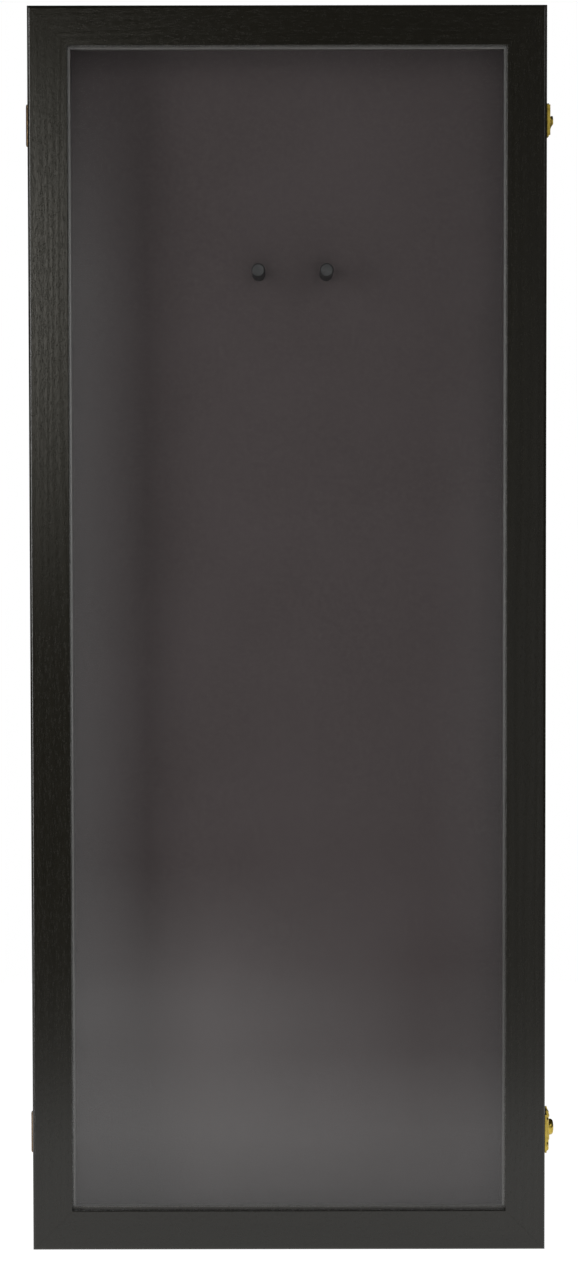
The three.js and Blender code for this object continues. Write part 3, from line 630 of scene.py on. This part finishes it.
def add_box_boards():
    left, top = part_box("box_left_board"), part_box("box_top_board")
    front, back = left[0].y, left[1].y
    board = top[1].z - top[0].z
    panel_low, panel_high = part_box("back_panel")
    groove = board - (left[1].x - panel_low.x) - 0.5 * MM
    section = rounded([
        (0, front, 0.8 * MM),
        (board, front, 0.6 * MM),
        (board, panel_low.y - GAP, 0.2 * MM),
        (groove, panel_low.y - GAP, 0.2 * MM),
        (groove, panel_high.y + GAP, 0.2 * MM),
        (board, panel_high.y + GAP, 0.2 * MM),
        (board, back, 0.6 * MM),
        (0, back, 0.8 * MM),
    ], 4)
    outer = outer_rectangle("box_left_board", "box_right_board", "box_bottom_board", "box_top_board")
    for side in ("left", "right", "top", "bottom"):
        node = f"box_{side}_board"
        solid = frame_side(side, section, outer)
        if side == "left":
            screws = [f"{level}_hinge_box_screw_{end}" for level in ("upper", "lower")
                      for end in ("upper", "lower")]
            cut(solid, *hinge_rooms("box"), *screw_bores(screws, HINGE_SCREW, "-y"),
                *screw_bores(["left_hanger_screw"], HANGER_SCREW, "+y"))
        if side == "right":
            cut(solid, *screw_bores(["catch_screw_upper", "catch_screw_lower"], CATCH_SCREW, "+x"),
                *screw_bores(["lock_screw_front", "lock_screw_rear"], ROUND_SCREW, "+x"),
                *screw_bores(["right_hanger_screw"], HANGER_SCREW, "+y"))
        finish_piece(solid, node, UPRIGHT if side in ("left", "right") else LEVEL)


def add_door_members():
    stile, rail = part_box("door_left_stile"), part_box("door_top_rail")
    front, back = stile[0].y, stile[1].y
    face = rail[1].z - rail[0].z
    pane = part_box("acrylic_pane")
    lip_back = pane[0].y - GAP
    rabbet = pane[0].x - stile[0].x - 0.5 * MM
    section = rounded([
        (0, front, 3 * MM),
        (face, front, 0.5 * MM),
        (face, lip_back, 0.3 * MM),
        (rabbet, lip_back, 0.2 * MM),
        (rabbet, back, 0.4 * MM),
        (0, back, 0.7 * MM),
    ])
    names = {"left": "door_left_stile", "right": "door_right_stile",
             "top": "door_top_rail", "bottom": "door_bottom_rail"}
    outer = outer_rectangle(names["left"], names["right"], names["bottom"], names["top"])
    for side, node in names.items():
        solid = frame_side(side, section, outer)
        if side == "left":
            screws = [f"{level}_hinge_door_screw_{end}" for level in ("upper", "lower")
                      for end in ("upper", "lower")]
            cut(solid, *hinge_rooms("door"), *screw_bores(screws, HINGE_SCREW, "+y"))
        if side == "right":
            cut(solid, *screw_bores(["keeper_screw_upper", "keeper_screw_lower"], CATCH_SCREW, "+x"),
                *screw_bores(["hasp_screw_upper", "hasp_screw_lower"], ROUND_SCREW, "+x"))
        finish_piece(solid, node, UPRIGHT if side in ("left", "right") else LEVEL)


def add_beads():
    left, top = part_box("pane_bead_left"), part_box("pane_bead_top")
    front, back = left[0].y, left[1].y
    width = top[1].z - top[0].z
    section = rounded([
        (0, front, 0.2 * MM), (width, front, 0.3 * MM), (width, back, 1.2 * MM), (0, back, 0.3 * MM),
    ])
    sides = ("left", "right", "bottom", "top")
    outer = outer_rectangle(*(f"pane_bead_{side}" for side in sides))
    for side in sides:
        finish_piece(frame_side(side, section, outer), f"pane_bead_{side}", BEAD_PAINT_AND_HIGHLIGHT)


def add_pane():
    low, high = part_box("acrylic_pane")
    return finish_piece(eased(block(low, high), 0.3 * MM), "acrylic_pane", ACRYLIC)


# ---- The back: panel, felt and peg block ----

FELT_CELL = 4 * MM
FELT_LIFT = 0.12 * MM         # room for the felt's unevenness
DOWEL_RADIUS = 4 * MM
DOWEL_ROOM = 0.2 * MM
PEG_BORE = 2.2 * MM           # for a peg's screw, through the panel and the block
COUNTERBORE = 2.8 * MM        # depth of its head's recess in the block
PILOT_DEPTH = 19 * MM
SLEEVE_ROUND = 1.6 * MM       # rounding of a sleeve's front edge
SLEEVE_END = 3.1 * MM         # rubber in front of the dowel


def peg_axis(side):
    low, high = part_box(f"{side}_peg_dowel")
    return (low + high) / 2


def add_back_panel():
    low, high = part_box("back_panel")
    bores = []
    for side in ("left", "right"):
        axis = peg_axis(side)
        place = placed("+y", (axis.x, high.y, axis.z))
        bores.append(rod(PEG_BORE, -THROUGH, THROUGH, place, 24))
    finish_piece(cut(eased(block(low, high), 0.4 * MM), *bores), "back_panel", HARDBOARD)


def felt_wave(x, z):
    """A slight unevenness of glued felt."""
    wide = math.sin(31 * x + 1.3) * math.sin(23 * z + 0.4)
    fine = math.sin(173 * x + 211 * z) * math.sin(149 * x - 127 * z + 2)
    return 0.07 * MM * wide + 0.04 * MM * fine


def add_felt():
    """A soft sheet glued flat to the panel, with holes for the two dowels."""
    low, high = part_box("felt_lining")
    columns = round((high.x - low.x) / FELT_CELL)
    rows = round((high.z - low.z) / FELT_CELL)

    def layer(depth, sign):
        xs = [low.x + (high.x - low.x) * i / columns for i in range(columns + 1)]
        zs = [low.z + (high.z - low.z) * j / rows for j in range(rows + 1)]
        return [(x, depth + sign * felt_wave(x, z), z) for z in zs for x in xs]

    front = layer(low.y + FELT_LIFT, 1)
    back = layer(high.y - 0.02 * MM, 0)
    count = len(front)
    wide = columns + 1
    faces = []
    for j in range(rows):
        for i in range(columns):
            a = j * wide + i
            faces.append([a, a + 1, a + wide + 1, a + wide])
            faces.append([count + a, count + a + wide, count + a + wide + 1, count + a + 1])
    rim = list(range(columns))
    rim += [columns + j * wide for j in range(rows)]
    rim += [rows * wide + i for i in range(columns, 0, -1)]
    rim += [j * wide for j in range(rows, 0, -1)]
    for i, a in enumerate(rim):
        b = rim[(i + 1) % len(rim)]
        faces.append([a, b, count + b, count + a])
    sheet = new_object("felt", front + back, faces)
    holes = []
    for side in ("left", "right"):
        axis = peg_axis(side)
        place = placed("+y", (axis.x, low.y, axis.z))
        holes.append(rod(DOWEL_RADIUS + DOWEL_ROOM, -4 * MM, 4 * MM, place))
    cut(sheet, *holes)
    finish_piece(sheet, "felt_lining", FELT)


def add_peg_block():
    low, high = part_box("peg_block")
    cuts = []
    for side in ("left", "right"):
        axis = peg_axis(side)
        through = placed("+y", (axis.x, high.y, axis.z))
        cuts.append(rod(PEG_BORE, -THROUGH, 2 * MM, through, 24))
        cuts.append(rod(DOWEL_RADIUS + DOWEL_ROOM, -COUNTERBORE, 2 * MM, through, 32))
    finish_piece(eased(cut(block(low, high), *cuts), 0.5 * MM), "peg_block", BARE_WOOD)


def add_pegs():
    for side in ("left", "right"):
        low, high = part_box(f"{side}_peg_dowel")
        axis = (low + high) / 2
        length = high.y - low.y
        place = placed("-y", (axis.x, high.y, axis.z))
        dowel = turned([
            (DOWEL_RADIUS - 0.2 * MM, 0), (DOWEL_RADIUS, 0.3 * MM), (DOWEL_RADIUS, length - MM),
            (DOWEL_RADIUS - 0.4 * MM, length - 0.4 * MM), (DOWEL_RADIUS - MM, length),
        ], place)
        cut(dowel, rod(hole_radius(PEG_SCREW), -MM, PILOT_DEPTH, place, 24))
        finish_piece(dowel, f"{side}_peg_dowel", BARE_WOOD)
        low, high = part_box(f"{side}_peg_sleeve")
        length = high.y - low.y
        radius = (high.x - low.x) / 2
        place = placed("-y", (axis.x, high.y, axis.z))
        profile = [(radius - 0.3 * MM, 0), (radius, 0.3 * MM), (radius, length - SLEEVE_ROUND)]
        profile += [
            (radius - SLEEVE_ROUND * (1 - math.cos(turn)), length - SLEEVE_ROUND * (1 - math.sin(turn)))
            for turn in (math.radians(angle) for angle in (18, 36, 54, 72, 90))
        ]
        sleeve = turned(profile, place)
        cut(sleeve, rod(DOWEL_RADIUS + DOWEL_ROOM, -MM, length - SLEEVE_END, place))
        finish_piece(sleeve, f"{side}_peg_sleeve", RUBBER)


# ---- Hinges ----

KNUCKLES = 5
KNUCKLE = 1.9 * MM
KNUCKLE_ROOM = 0.5 * MM       # between a barrel and the wood
PIN = 0.9 * MM
PIN_BORE = 1.1 * MM
LEAF = 1.2 * MM
LEAF_LIFT = 0.4 * MM          # from the plane of the hinge's axis to a leaf's inner face
SEAM = 0.12 * MM              # between two knuckles


def knuckles(place, length, radius, own, room=0.0):
    """The barrel's lengths of tube that belong to one leaf, or the rooms for the others."""
    each = length / KNUCKLES
    tubes = []
    for i in range(KNUCKLES):
        if (i % 2 == 0) == own:
            low = -length / 2 + i * each + SEAM / 2 - room
            high = -length / 2 + (i + 1) * each - SEAM / 2 + room
            tubes.append(rod(radius + room, low, high, place))
    return tubes


def pin_solid(place, length, radius):
    """A pin with a domed head at each end."""
    neck = length / 2 + 0.15 * MM
    head = radius + 0.8 * MM
    top = [(radius, neck), (head, neck), (head, neck + 0.4 * MM), (0.8 * head, neck + 0.85 * MM),
           (0.4 * head, neck + 1.1 * MM), (0, neck + 1.15 * MM)]
    bottom = [(size, -height) for size, height in reversed(top)]
    return turned(bottom + top, place, 32)


def hinge_leaf(level, kind):
    node = f"{level}_hinge_{kind}_leaf"
    low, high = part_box(node)
    axis = pivot["door_swing"]
    middle = Vector((axis.x, axis.y, (low.z + high.z) / 2))
    length = high.z - low.z
    sign = 1 if kind == "box" else -1
    faces = sorted((axis.y + sign * LEAF_LIFT, axis.y + sign * (LEAF_LIFT + LEAF)))
    outline = rounded([
        (axis.x, low.z, 0), (high.x, low.z, 1.2 * MM), (high.x, high.z, 1.2 * MM), (axis.x, high.z, 0),
    ])
    leaf = drawn(outline, faces[0], faces[1], UPRIGHT_PLANE)
    about = Matrix.Translation(middle)
    own = kind == "box"
    cut(leaf, *knuckles(about, length, KNUCKLE, not own, 0.2 * MM))
    join(leaf, *knuckles(about, length, KNUCKLE, own))
    sinks = []
    for end in ("upper", "lower"):
        facing = "-y" if kind == "box" else "+y"
        screw = f"{level}_hinge_{kind}_screw_{end}"
        place = placed(facing, seat(screw, facing, HINGE_SCREW))
        hole, sink = hole_radius(HINGE_SCREW), (HINGE_SCREW["head"] + SCREW_ROOM) * MM
        profile = [(hole, -3 * MM), (hole, -LEAF), (sink, 0), (sink, MM)]
        sinks.append(turned(profile, place, 32))
    cut(leaf, rod(PIN_BORE, -length, length, about, 32), *sinks)
    return eased(leaf, FINE_EDGE), node


def add_hinges():
    for level in ("upper", "lower"):
        for kind in ("door", "box"):
            leaf, node = hinge_leaf(level, kind)
            finish_piece(leaf, node, AGED_AND_SHADED_BRASS)
        low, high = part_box(f"{level}_hinge_pin")
        leaf_low, leaf_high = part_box(f"{level}_hinge_box_leaf")
        pin = pin_solid(Matrix.Translation((low + high) / 2), leaf_high.z - leaf_low.z, PIN)
        finish_piece(pin, f"{level}_hinge_pin", AGED_AND_SHADED_BRASS)


# ---- The swing-hook catch ----

HOOK_FLOOR = 4 * MM           # underside of the hook above the case's side
HOOK = 1.5 * MM
POST = 2.3 * MM
COLLAR = 1.6 * MM
PLATE = 1.5 * MM


def plate_with_holes(outline, place, thickness, screws, kind):
    """A plate drawn out along +X with a clearance hole for each screw."""
    plate = drawn(outline, GAP, GAP + thickness, place)
    return plate, [
        rod(hole_radius(kind), -5 * MM, 5 * MM, placed("+x", seat(screw, "+x", kind)), 24)
        for screw in screws
    ]


def add_catch_plate(place, middle):
    low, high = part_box("catch_plate")
    outline = rounded_box(0, 0, high.y - low.y, high.z - low.z, 3 * MM)
    top = HOOK_FLOOR + HOOK + 0.2 * MM
    plate, holes = plate_with_holes(outline, place, PLATE,
                                    ["catch_screw_upper", "catch_screw_lower"], CATCH_SCREW)
    post = turned([
        (POST + COLLAR, GAP), (POST + COLLAR, HOOK_FLOOR - 0.4 * MM), (POST + COLLAR - 0.2 * MM,
                                                                      HOOK_FLOOR - 0.2 * MM),
        (POST, HOOK_FLOOR - 0.2 * MM), (POST, top), (POST + COLLAR, top), (POST + COLLAR, top + 0.2 * MM),
        (POST + 0.8 * COLLAR, top + 0.6 * MM), (POST + 0.3 * COLLAR, top + 0.9 * MM), (0, top + MM),
    ], place)
    finish_piece(eased(cut(join(plate, post), *holes), FINE_EDGE), "catch_plate", BRASS)


def add_hook(place, reach):
    """A flat arm: an eye round the post at one end and a notch over the keeper's stud."""
    eye, arm, notch, nose = 5.4 * MM, 4 * MM, 2.8 * MM, 6.2 * MM
    outline = [(eye * math.sin(turn), eye * math.cos(turn))
               for turn in (math.radians(angle) for angle in range(180, -1, -6))]
    outline += rounded([
        (-eye, arm - 0.6 * MM, 2 * MM), (-reach, arm, 0), (-reach - 2.6 * MM, arm - 0.9 * MM, 2 * MM),
        (-reach - nose, 0.5 * MM, MM), (-reach - nose, -arm, 0.9 * MM), (-reach - notch, -arm, 0.3 * MM),
    ])
    outline += [
        (-reach + notch * math.cos(turn), -0.4 * MM + notch * math.sin(turn))
        for turn in (math.radians(angle) for angle in range(180, -1, -12))
    ]
    outline += [(-reach + notch, -arm), (-eye, -arm + 0.6 * MM)]
    hook = drawn(outline, HOOK_FLOOR, HOOK_FLOOR + HOOK, place)
    cut(hook, rod(POST + 0.25 * MM, 0, 10 * MM, place))
    finish_piece(eased(hook, 0.3 * MM, 3), "catch_hook", BRASS)


def add_keeper(place):
    low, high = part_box("keeper_plate")
    depth, length = high.y - low.y, high.z - low.z
    outline = rounded_box(0, 0, depth, length, MM)
    plate, holes = plate_with_holes(outline, place, PLATE,
                                    ["keeper_screw_upper", "keeper_screw_lower"], CATCH_SCREW)
    stud = rod(2.4 * MM, GAP, HOOK_FLOOR - GAP, place)
    rib = drawn([(-depth / 2, 1 * MM - length / 2), (1.6 * MM - depth / 2, 1 * MM - length / 2),
                 (1.6 * MM - depth / 2, length / 2 - MM), (-depth / 2, length / 2 - MM)],
                GAP, 3 * MM, place)
    finish_piece(eased(cut(join(plate, stud, rib), *holes), 0.25 * MM), "keeper_plate", BRASS)


def add_catch():
    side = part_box("box_right_board")[1].x
    axis = pivot["hook_swing"]
    low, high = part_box("keeper_plate")
    keeper = (low + high) / 2
    on_box = placed("+x", (side, axis.y, axis.z))
    on_door = placed("+x", (side, keeper.y, keeper.z))
    add_catch_plate(on_box, axis)
    add_hook(on_box, axis.y - keeper.y)
    add_keeper(on_door)


# ---- The keyed hasp ----

HASP_KNUCKLE = 2.2 * MM
HASP_LEAF = 1.4 * MM
FLAP = 1.6 * MM
TAB_BEND = 1.4 * MM
TAB_TAPER = 8 * MM            # length of the upper tab's taper
STOP_END = 12.9 * MM          # the lower stop's end, below the pin's middle
SLOT_ROOM = 0.5 * MM          # between the fork and the lock
BEYOND = 9 * MM               # how far the cutters reach past the flap
BOSS_ROUND = 3 * MM           # height of the rounding on the lock's dome
FLANGE = 1.2 * MM
LOCK_RADIUS = 7.2 * MM
CYLINDER = 3 * MM


def add_hasp_leaf(axis, length):
    low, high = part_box("hasp_leaf")
    outline = rounded([(low.y, low.z, MM), (axis.y, low.z, 0), (axis.y, high.z, 0), (low.y, high.z, MM)])
    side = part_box("door_right_stile")[1].x
    about = Matrix.Translation(axis)
    leaf = drawn(outline, side + GAP, side + GAP + HASP_LEAF, placed("+x"))
    cut(leaf, *knuckles(about, length, HASP_KNUCKLE, False, 0.2 * MM))
    join(leaf, *knuckles(about, length, HASP_KNUCKLE, True))
    holes = [
        rod(hole_radius(ROUND_SCREW), -5 * MM, 5 * MM, placed("+x", seat(screw, "+x", ROUND_SCREW)), 24)
        for screw in ("hasp_screw_upper", "hasp_screw_lower")
    ]
    cut(leaf, rod(PIN_BORE, -length, length, about, 32), *holes)
    finish_piece(eased(leaf, FINE_EDGE), "hasp_leaf", BRASS)


def add_hasp_flap(axis, length):
    """A fork that straddles the lock, with a tapered finger tab above and a stop below."""
    low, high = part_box("hasp_flap")
    lock_low, lock_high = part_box("lock_case")
    lock_middle = (lock_low.z + lock_high.z) / 2
    slot_half = (lock_high.z - lock_low.z) / 2 + SLOT_ROOM
    slot_front = lock_low.y - SLOT_ROOM
    base = axis.x - FLAP / 2
    section = rounded([
        (base, axis.y, 0), (base, high.y, TAB_BEND + FLAP), (high.x, high.y, 0.5 * MM),
        (high.x, high.y - FLAP, 0.5 * MM), (base + FLAP, high.y - FLAP, TAB_BEND), (base + FLAP, axis.y, 0),
    ])
    about = Matrix.Translation(axis)
    flap = drawn(section, -length / 2, length / 2, Matrix.Translation((0, 0, axis.z)))
    slot = block((base - BEYOND, slot_front, lock_middle - slot_half),
                 (high.x + BEYOND, high.y + BEYOND, lock_middle + slot_half))
    taper = drawn([
        (high.x + MM, axis.z + length / 2 - TAB_TAPER), (high.x, axis.z + length / 2 - TAB_TAPER),
        (base + FLAP + TAB_BEND - 0.6 * MM, axis.z + length / 2 + MM),
        (high.x + MM, axis.z + length / 2 + MM),
    ], -high.y - MM, -axis.y - 2 * HASP_KNUCKLE + 4 * MM, placed("-y"))
    stop = block((base - BEYOND, high.y - FLAP - TAB_BEND, low.z - MM),
                 (high.x + BEYOND, high.y + BEYOND, axis.z - STOP_END))
    cut(flap, slot, taper, stop, *knuckles(about, length, HASP_KNUCKLE, True, 0.2 * MM))
    join(flap, *knuckles(about, length, HASP_KNUCKLE, False))
    cut(flap, rod(PIN_BORE, -length, length, about, 32))
    finish_piece(eased(flap, 0.25 * MM), "hasp_flap", BRASS)


def add_lock():
    low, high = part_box("lock_case")
    axis = pivot["lock_turn"]
    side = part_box("box_right_board")[1].x
    place = placed("+x", (side, axis.y, axis.z))
    top = high.x - side
    outline = rounded_box((low.y + high.y) / 2 - axis.y, 0, high.y - low.y, high.z - low.z, 6 * MM)
    flange, holes = plate_with_holes(outline, place, FLANGE,
                                     ["lock_screw_front", "lock_screw_rear"], ROUND_SCREW)
    boss = [(LOCK_RADIUS, GAP), (LOCK_RADIUS, top - BOSS_ROUND)]
    boss += [
        (LOCK_RADIUS - 2.6 * MM * (1 - math.cos(turn)), top - BOSS_ROUND * (1 - math.sin(turn)))
        for turn in (math.radians(angle) for angle in range(10, 91, 10))
    ]
    rim = rod(CYLINDER + 0.15 * MM, 2 * MM, top + MM, place)
    dish = turned([(CYLINDER + 0.15 * MM, top - 0.5 * MM), (CYLINDER + MM, top + 0.5 * MM)], place)
    case = cut(join(flange, turned(boss, place)), rim, dish, *holes)
    finish_piece(eased(case, FINE_EDGE), "lock_case", BRASS)
    low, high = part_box("lock_cylinder")
    plug = turned([
        (CYLINDER, 2.3 * MM), (CYLINDER, high.x - side - 0.3 * MM), (CYLINDER - 0.3 * MM, high.x - side),
    ], place)
    keyhole = drawn([
        (-0.5 * MM, -2 * MM), (0.5 * MM, -2 * MM), (0.5 * MM, -0.6 * MM), (0.2 * MM, -0.3 * MM),
        (0.2 * MM, 0.5 * MM), (0.5 * MM, 0.8 * MM), (0.5 * MM, 2 * MM), (-0.5 * MM, 2 * MM),
    ], high.x - side - 6 * MM, high.x - side + MM, place)
    finish_piece(eased(cut(plug, keyhole), 0.06 * MM), "lock_cylinder", BRASS)


def add_hasp():
    axis = pivot["hasp_fold"]
    low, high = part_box("hasp_leaf")
    length = high.z - low.z
    add_hasp_leaf(axis, length)
    add_hasp_flap(axis, length)
    finish_piece(pin_solid(Matrix.Translation(axis), length, PIN), "hasp_pin", BRASS)
    add_lock()


# ---- Hangers and bumpers ----

RING_WIRE = 1.2 * MM
RING_HALF = 6.2 * MM
RING_LEG = 5 * MM
EYE = 2.6 * MM
STRAP = 1 * MM
BUMPER_ROUND = 1.5 * MM


def ring_path():
    """The middle line of a ring: its bar, two straight legs and a half-round bow."""
    corner = 1.3 * MM
    path = []
    for angle in range(180, 361, 10):
        turn = math.radians(angle)
        path.append((RING_HALF * math.cos(turn), RING_HALF * math.sin(turn) - RING_LEG))
    for middle, start in ((RING_HALF - corner, 0), (corner - RING_HALF, 90)):
        for angle in range(start, start + 91, 15):
            turn = math.radians(angle)
            path.append((middle + corner * math.cos(turn), -corner + corner * math.sin(turn)))
    return [Vector((x, 0, z)) for x, z in path]


def ring_solid(place):
    """A round wire swept along a closed path in the XZ plane."""
    path = ring_path()
    count, sides = len(path), 16
    vertices = []
    for i, point in enumerate(path):
        ahead = (path[(i + 1) % count] - path[i - 1]).normalized()
        across = Vector((ahead.z, 0, -ahead.x))
        for j in range(sides):
            turn = 2 * math.pi * j / sides
            offset = across * math.cos(turn) + Vector((0, 1, 0)) * math.sin(turn)
            vertices.append(place @ (point + RING_WIRE * offset))
    faces = []
    for i in range(count):
        for j in range(sides):
            k, m = (i + 1) % count, (j + 1) % sides
            faces.append([i * sides + j, i * sides + m, k * sides + m, k * sides + j])
    return new_object("ring", vertices, faces)


def add_hangers():
    for side in ("left", "right"):
        axis = pivot[f"{side}_ring_swing"]
        low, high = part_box(f"{side}_hanger_strap")
        half = (high.x - low.x) / 2
        outline = rounded([
            (-half, low.z - axis.z, 3 * MM), (half, low.z - axis.z, 3 * MM), (half, 0, 0), (-half, 0, 0),
        ])
        about = Matrix.Translation(axis)
        strap = drawn(outline, -EYE, STRAP - EYE, about @ UPRIGHT_PLANE)
        join(strap, rod(EYE, -half, half, about @ TOWARDS["+x"]))
        screw = placed("+y", seat(f"{side}_hanger_screw", "+y", HANGER_SCREW))
        cut(strap, rod(RING_WIRE + GAP, -10 * MM, 10 * MM, about @ TOWARDS["+x"], 32),
            rod(hole_radius(HANGER_SCREW), -10 * MM, 10 * MM, screw, 24))
        finish_piece(eased(strap, FINE_EDGE), f"{side}_hanger_strap", STEEL)
        finish_piece(ring_solid(about), f"{side}_hanger_ring", STEEL)


def add_bumpers():
    for side in ("left", "right"):
        low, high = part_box(f"{side}_bumper")
        middle = (low + high) / 2
        radius, depth = (high.x - low.x) / 2, high.y - low.y
        top = radius - 0.3 * MM
        profile = [(top, 0), (radius, 0.3 * MM), (top, depth - BUMPER_ROUND)]
        profile += [
            (top - BUMPER_ROUND * (1 - math.cos(turn)), depth - BUMPER_ROUND * (1 - math.sin(turn)))
            for turn in (math.radians(angle) for angle in (22, 45, 67, 90))
        ]
        bumper = turned(profile, placed("+y", (middle.x, low.y, middle.z)))
        finish_piece(bumper, f"{side}_bumper", RUBBER)


# ---- Lights and floor ----

FLOOR_SIDE = 2.2
FLOOR_FAR = 1.4
FLOOR_NEAR = -2.6
FLOOR_LIGHT = 1.0
GLOW = 0.85                   # the floor's glow in what the case mirrors:
GLOW_FULL = -0.53             # full behind this line,
GLOW_LOW = -1.0               # this share of it here,
GLOW_LOW_SHARE = 0.3
GLOW_END = -1.7               # and nothing here
GLOW_LIFT = 1 * MM
WHITE = (1, 1, 1, 1)
WARM = (1, 0.97, 0.88, 1)

def only_for(light, pieces):
    """Lets a light reach only the given pieces."""
    group = bpy.data.collections.new(light.name + "_pieces")
    for piece in pieces:
        group.objects.link(piece)
    light.light_linking.receiver_collection = group


def add_lamp(name, place, aim, width, height, power):
    data = bpy.data.lights.new(name, "AREA")
    data.shape = "RECTANGLE"
    data.size = width
    data.size_y = height
    data.energy = power
    lamp = bpy.data.objects.new(name, data)
    bpy.context.scene.collection.objects.link(lamp)
    lamp.location = place
    lamp.rotation_euler = (Vector(aim) - Vector(place)).to_track_quat("-Z", "Y").to_euler()
    lamp.visible_camera = False
    return lamp


def glow_panel(name, corners, look, glow, tint, seen_by):
    """A clear, glowing panel that shows only in what the given pieces mirror."""
    panel = new_object(name, corners, [[0, 1, 2, 3]])
    shine = look.add("Emission", {"Color": tint, "Strength": glow}).outputs[0]
    clear = look.add("BsdfTransparent").outputs[0]
    panel.data.materials.append(look.output(look.add("AddShader", {0: shine, 1: clear}).outputs[0]))
    panel.visible_camera = False
    panel.visible_diffuse = False
    panel.visible_shadow = False
    only_for(panel, seen_by)


def add_reflector(name, depth, sides, fades, strength, tint, seen_by):
    """An upright glowing panel. Its sides are left, right, bottom and top, and its glow fades to
    nothing over these distances from them."""
    left, right, bottom, top = sides
    corners = [(x, depth, z) for x, z in ((left, bottom), (right, bottom), (right, top), (left, top))]
    look = Look(name)
    apart = look.add("SeparateXYZ", {0: look.place})
    glow = strength
    for axis, edge, inside in (
        ("X", left, left + fades[0]), ("X", right, right - fades[1]),
        ("Z", bottom, bottom + fades[2]), ("Z", top, top - fades[3]),
    ):
        if edge != inside:
            glow = look.math("MULTIPLY", look.spread(apart.outputs[axis], edge, inside), glow)
    glow_panel(name, corners, look, glow, tint, seen_by)


def floor_corners(near, height):
    return [(-FLOOR_SIDE, near, height), (FLOOR_SIDE, near, height),
            (FLOOR_SIDE, FLOOR_FAR, height), (-FLOOR_SIDE, FLOOR_FAR, height)]


def add_floor():
    """A plain pale floor, lit evenly."""
    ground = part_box("box_bottom_board")[0].z
    floor = new_object("floor", floor_corners(FLOOR_NEAR, ground), [[0, 1, 2, 3]])
    look = Look("floor")
    tone = look.blend(look.noise(3, 3), (0.86, 0.86, 0.86, 1), (0.9, 0.9, 0.9, 1))
    floor.data.materials.append(look.finish(
        Base_Color=tone, Roughness=0.9, Emission_Color=WHITE, Emission_Strength=FLOOR_LIGHT))
    floor.visible_glossy = False


def add_floor_glow(seen_by):
    """The floor as the case mirrors it: bright near the case, dying away in front."""
    look = Look("floor_glow")
    depth = look.add("SeparateXYZ", {0: look.place}).outputs["Y"]
    near = look.spread(depth, GLOW_END, GLOW_LOW, 0.0, GLOW_LOW_SHARE * GLOW)
    far = look.spread(depth, GLOW_LOW, GLOW_FULL, 0.0, (1 - GLOW_LOW_SHARE) * GLOW)
    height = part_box("box_bottom_board")[0].z + GLOW_LIFT
    glow_panel("floor_glow", floor_corners(FLOOR_NEAR, height), look,
               look.math("ADD", near, far), WHITE, seen_by)


def add_world():
    """White behind the case. In what the case mirrors, the room is dark."""
    world = bpy.data.worlds.new("room")
    world.use_nodes = True
    bpy.context.scene.world = world
    tree = world.node_tree
    tree.nodes.clear()
    seen = tree.nodes.new("ShaderNodeLightPath")
    white = tree.nodes.new("ShaderNodeBackground")
    white.inputs["Color"].default_value = (1, 1, 1, 1)
    white.inputs["Strength"].default_value = 1.0
    dim = tree.nodes.new("ShaderNodeBackground")
    dim.inputs["Color"].default_value = (1, 1, 1, 1)
    dim.inputs["Strength"].default_value = 0.03
    mix = tree.nodes.new("ShaderNodeMixShader")
    output = tree.nodes.new("ShaderNodeOutputWorld")
    tree.links.new(seen.outputs["Is Camera Ray"], mix.inputs[0])
    tree.links.new(dim.outputs[0], mix.inputs[1])
    tree.links.new(white.outputs[0], mix.inputs[2])
    tree.links.new(mix.outputs[0], output.inputs["Surface"])


def add_lights(pane):
    """A narrow key from the left, a weak fill, soft light into the case, and what things mirror."""
    fine = [thing for thing in bpy.data.objects if thing.name.startswith("fine_")]

    def pieces(*looks):
        return [thing for thing in fine if thing.data.materials[0] in looks]

    add_lamp("key", (-2.3, -2.4, 0.85), (0, 0, 0.6), 0.9, 2.2, 48)
    add_lamp("fill", (1.8, -2.4, 1.9), (0, 0, 0.6), 1.2, 1.2, 8)
    inside = add_lamp("inside", (0.2, -2.6, 0.8), (0, 0, 0.6), 1.4, 1.4, 32)
    only_for(inside, pieces(FELT, BEAD_PAINT_AND_HIGHLIGHT, RUBBER))
    wood = pieces(UPRIGHT, LEVEL)
    add_floor_glow(fine)
    add_reflector("veil", -2.68, (-0.46, -0.25, -0.5, 1.45), (0, 0.16, 0.5, 0.4), 0.72, WHITE, [pane])
    add_reflector("low_veil", -0.9, (-0.28, 0.15, -0.25, 0.24), (0, 0.23, 0.3, 0.16), 0.55, WHITE, [pane])
    add_reflector("sheen", -2.7, (-1.0, -0.39, 0.48, 1.5), (0, 0, 0.5, 0.25), 2.5, WARM, wood)
    add_reflector("haze", -2.72, (0.25, 1.1, -0.6, 1.6), (0.2, 0, 0.6, 1.2), 0.36, WHITE, [pane] + wood)
    add_reflector("card", -2.74, (-1.2, 1.2, -0.1, 1.9), (0, 0, 0, 0), 0.45, WHITE,
                  pieces(BRASS, AGED_AND_SHADED_BRASS))


# ---- The scene ----

bpy.context.scene.view_settings.view_transform = "Standard"
add_camera()
add_box_boards()
add_back_panel()
add_felt()
add_peg_block()
add_pegs()
add_door_members()
add_beads()
clear_pane = add_pane()
add_hinges()
add_catch()
add_hasp()
add_hangers()
add_bumpers()
add_screws()
add_floor()
add_world()
add_lights(clear_pane)
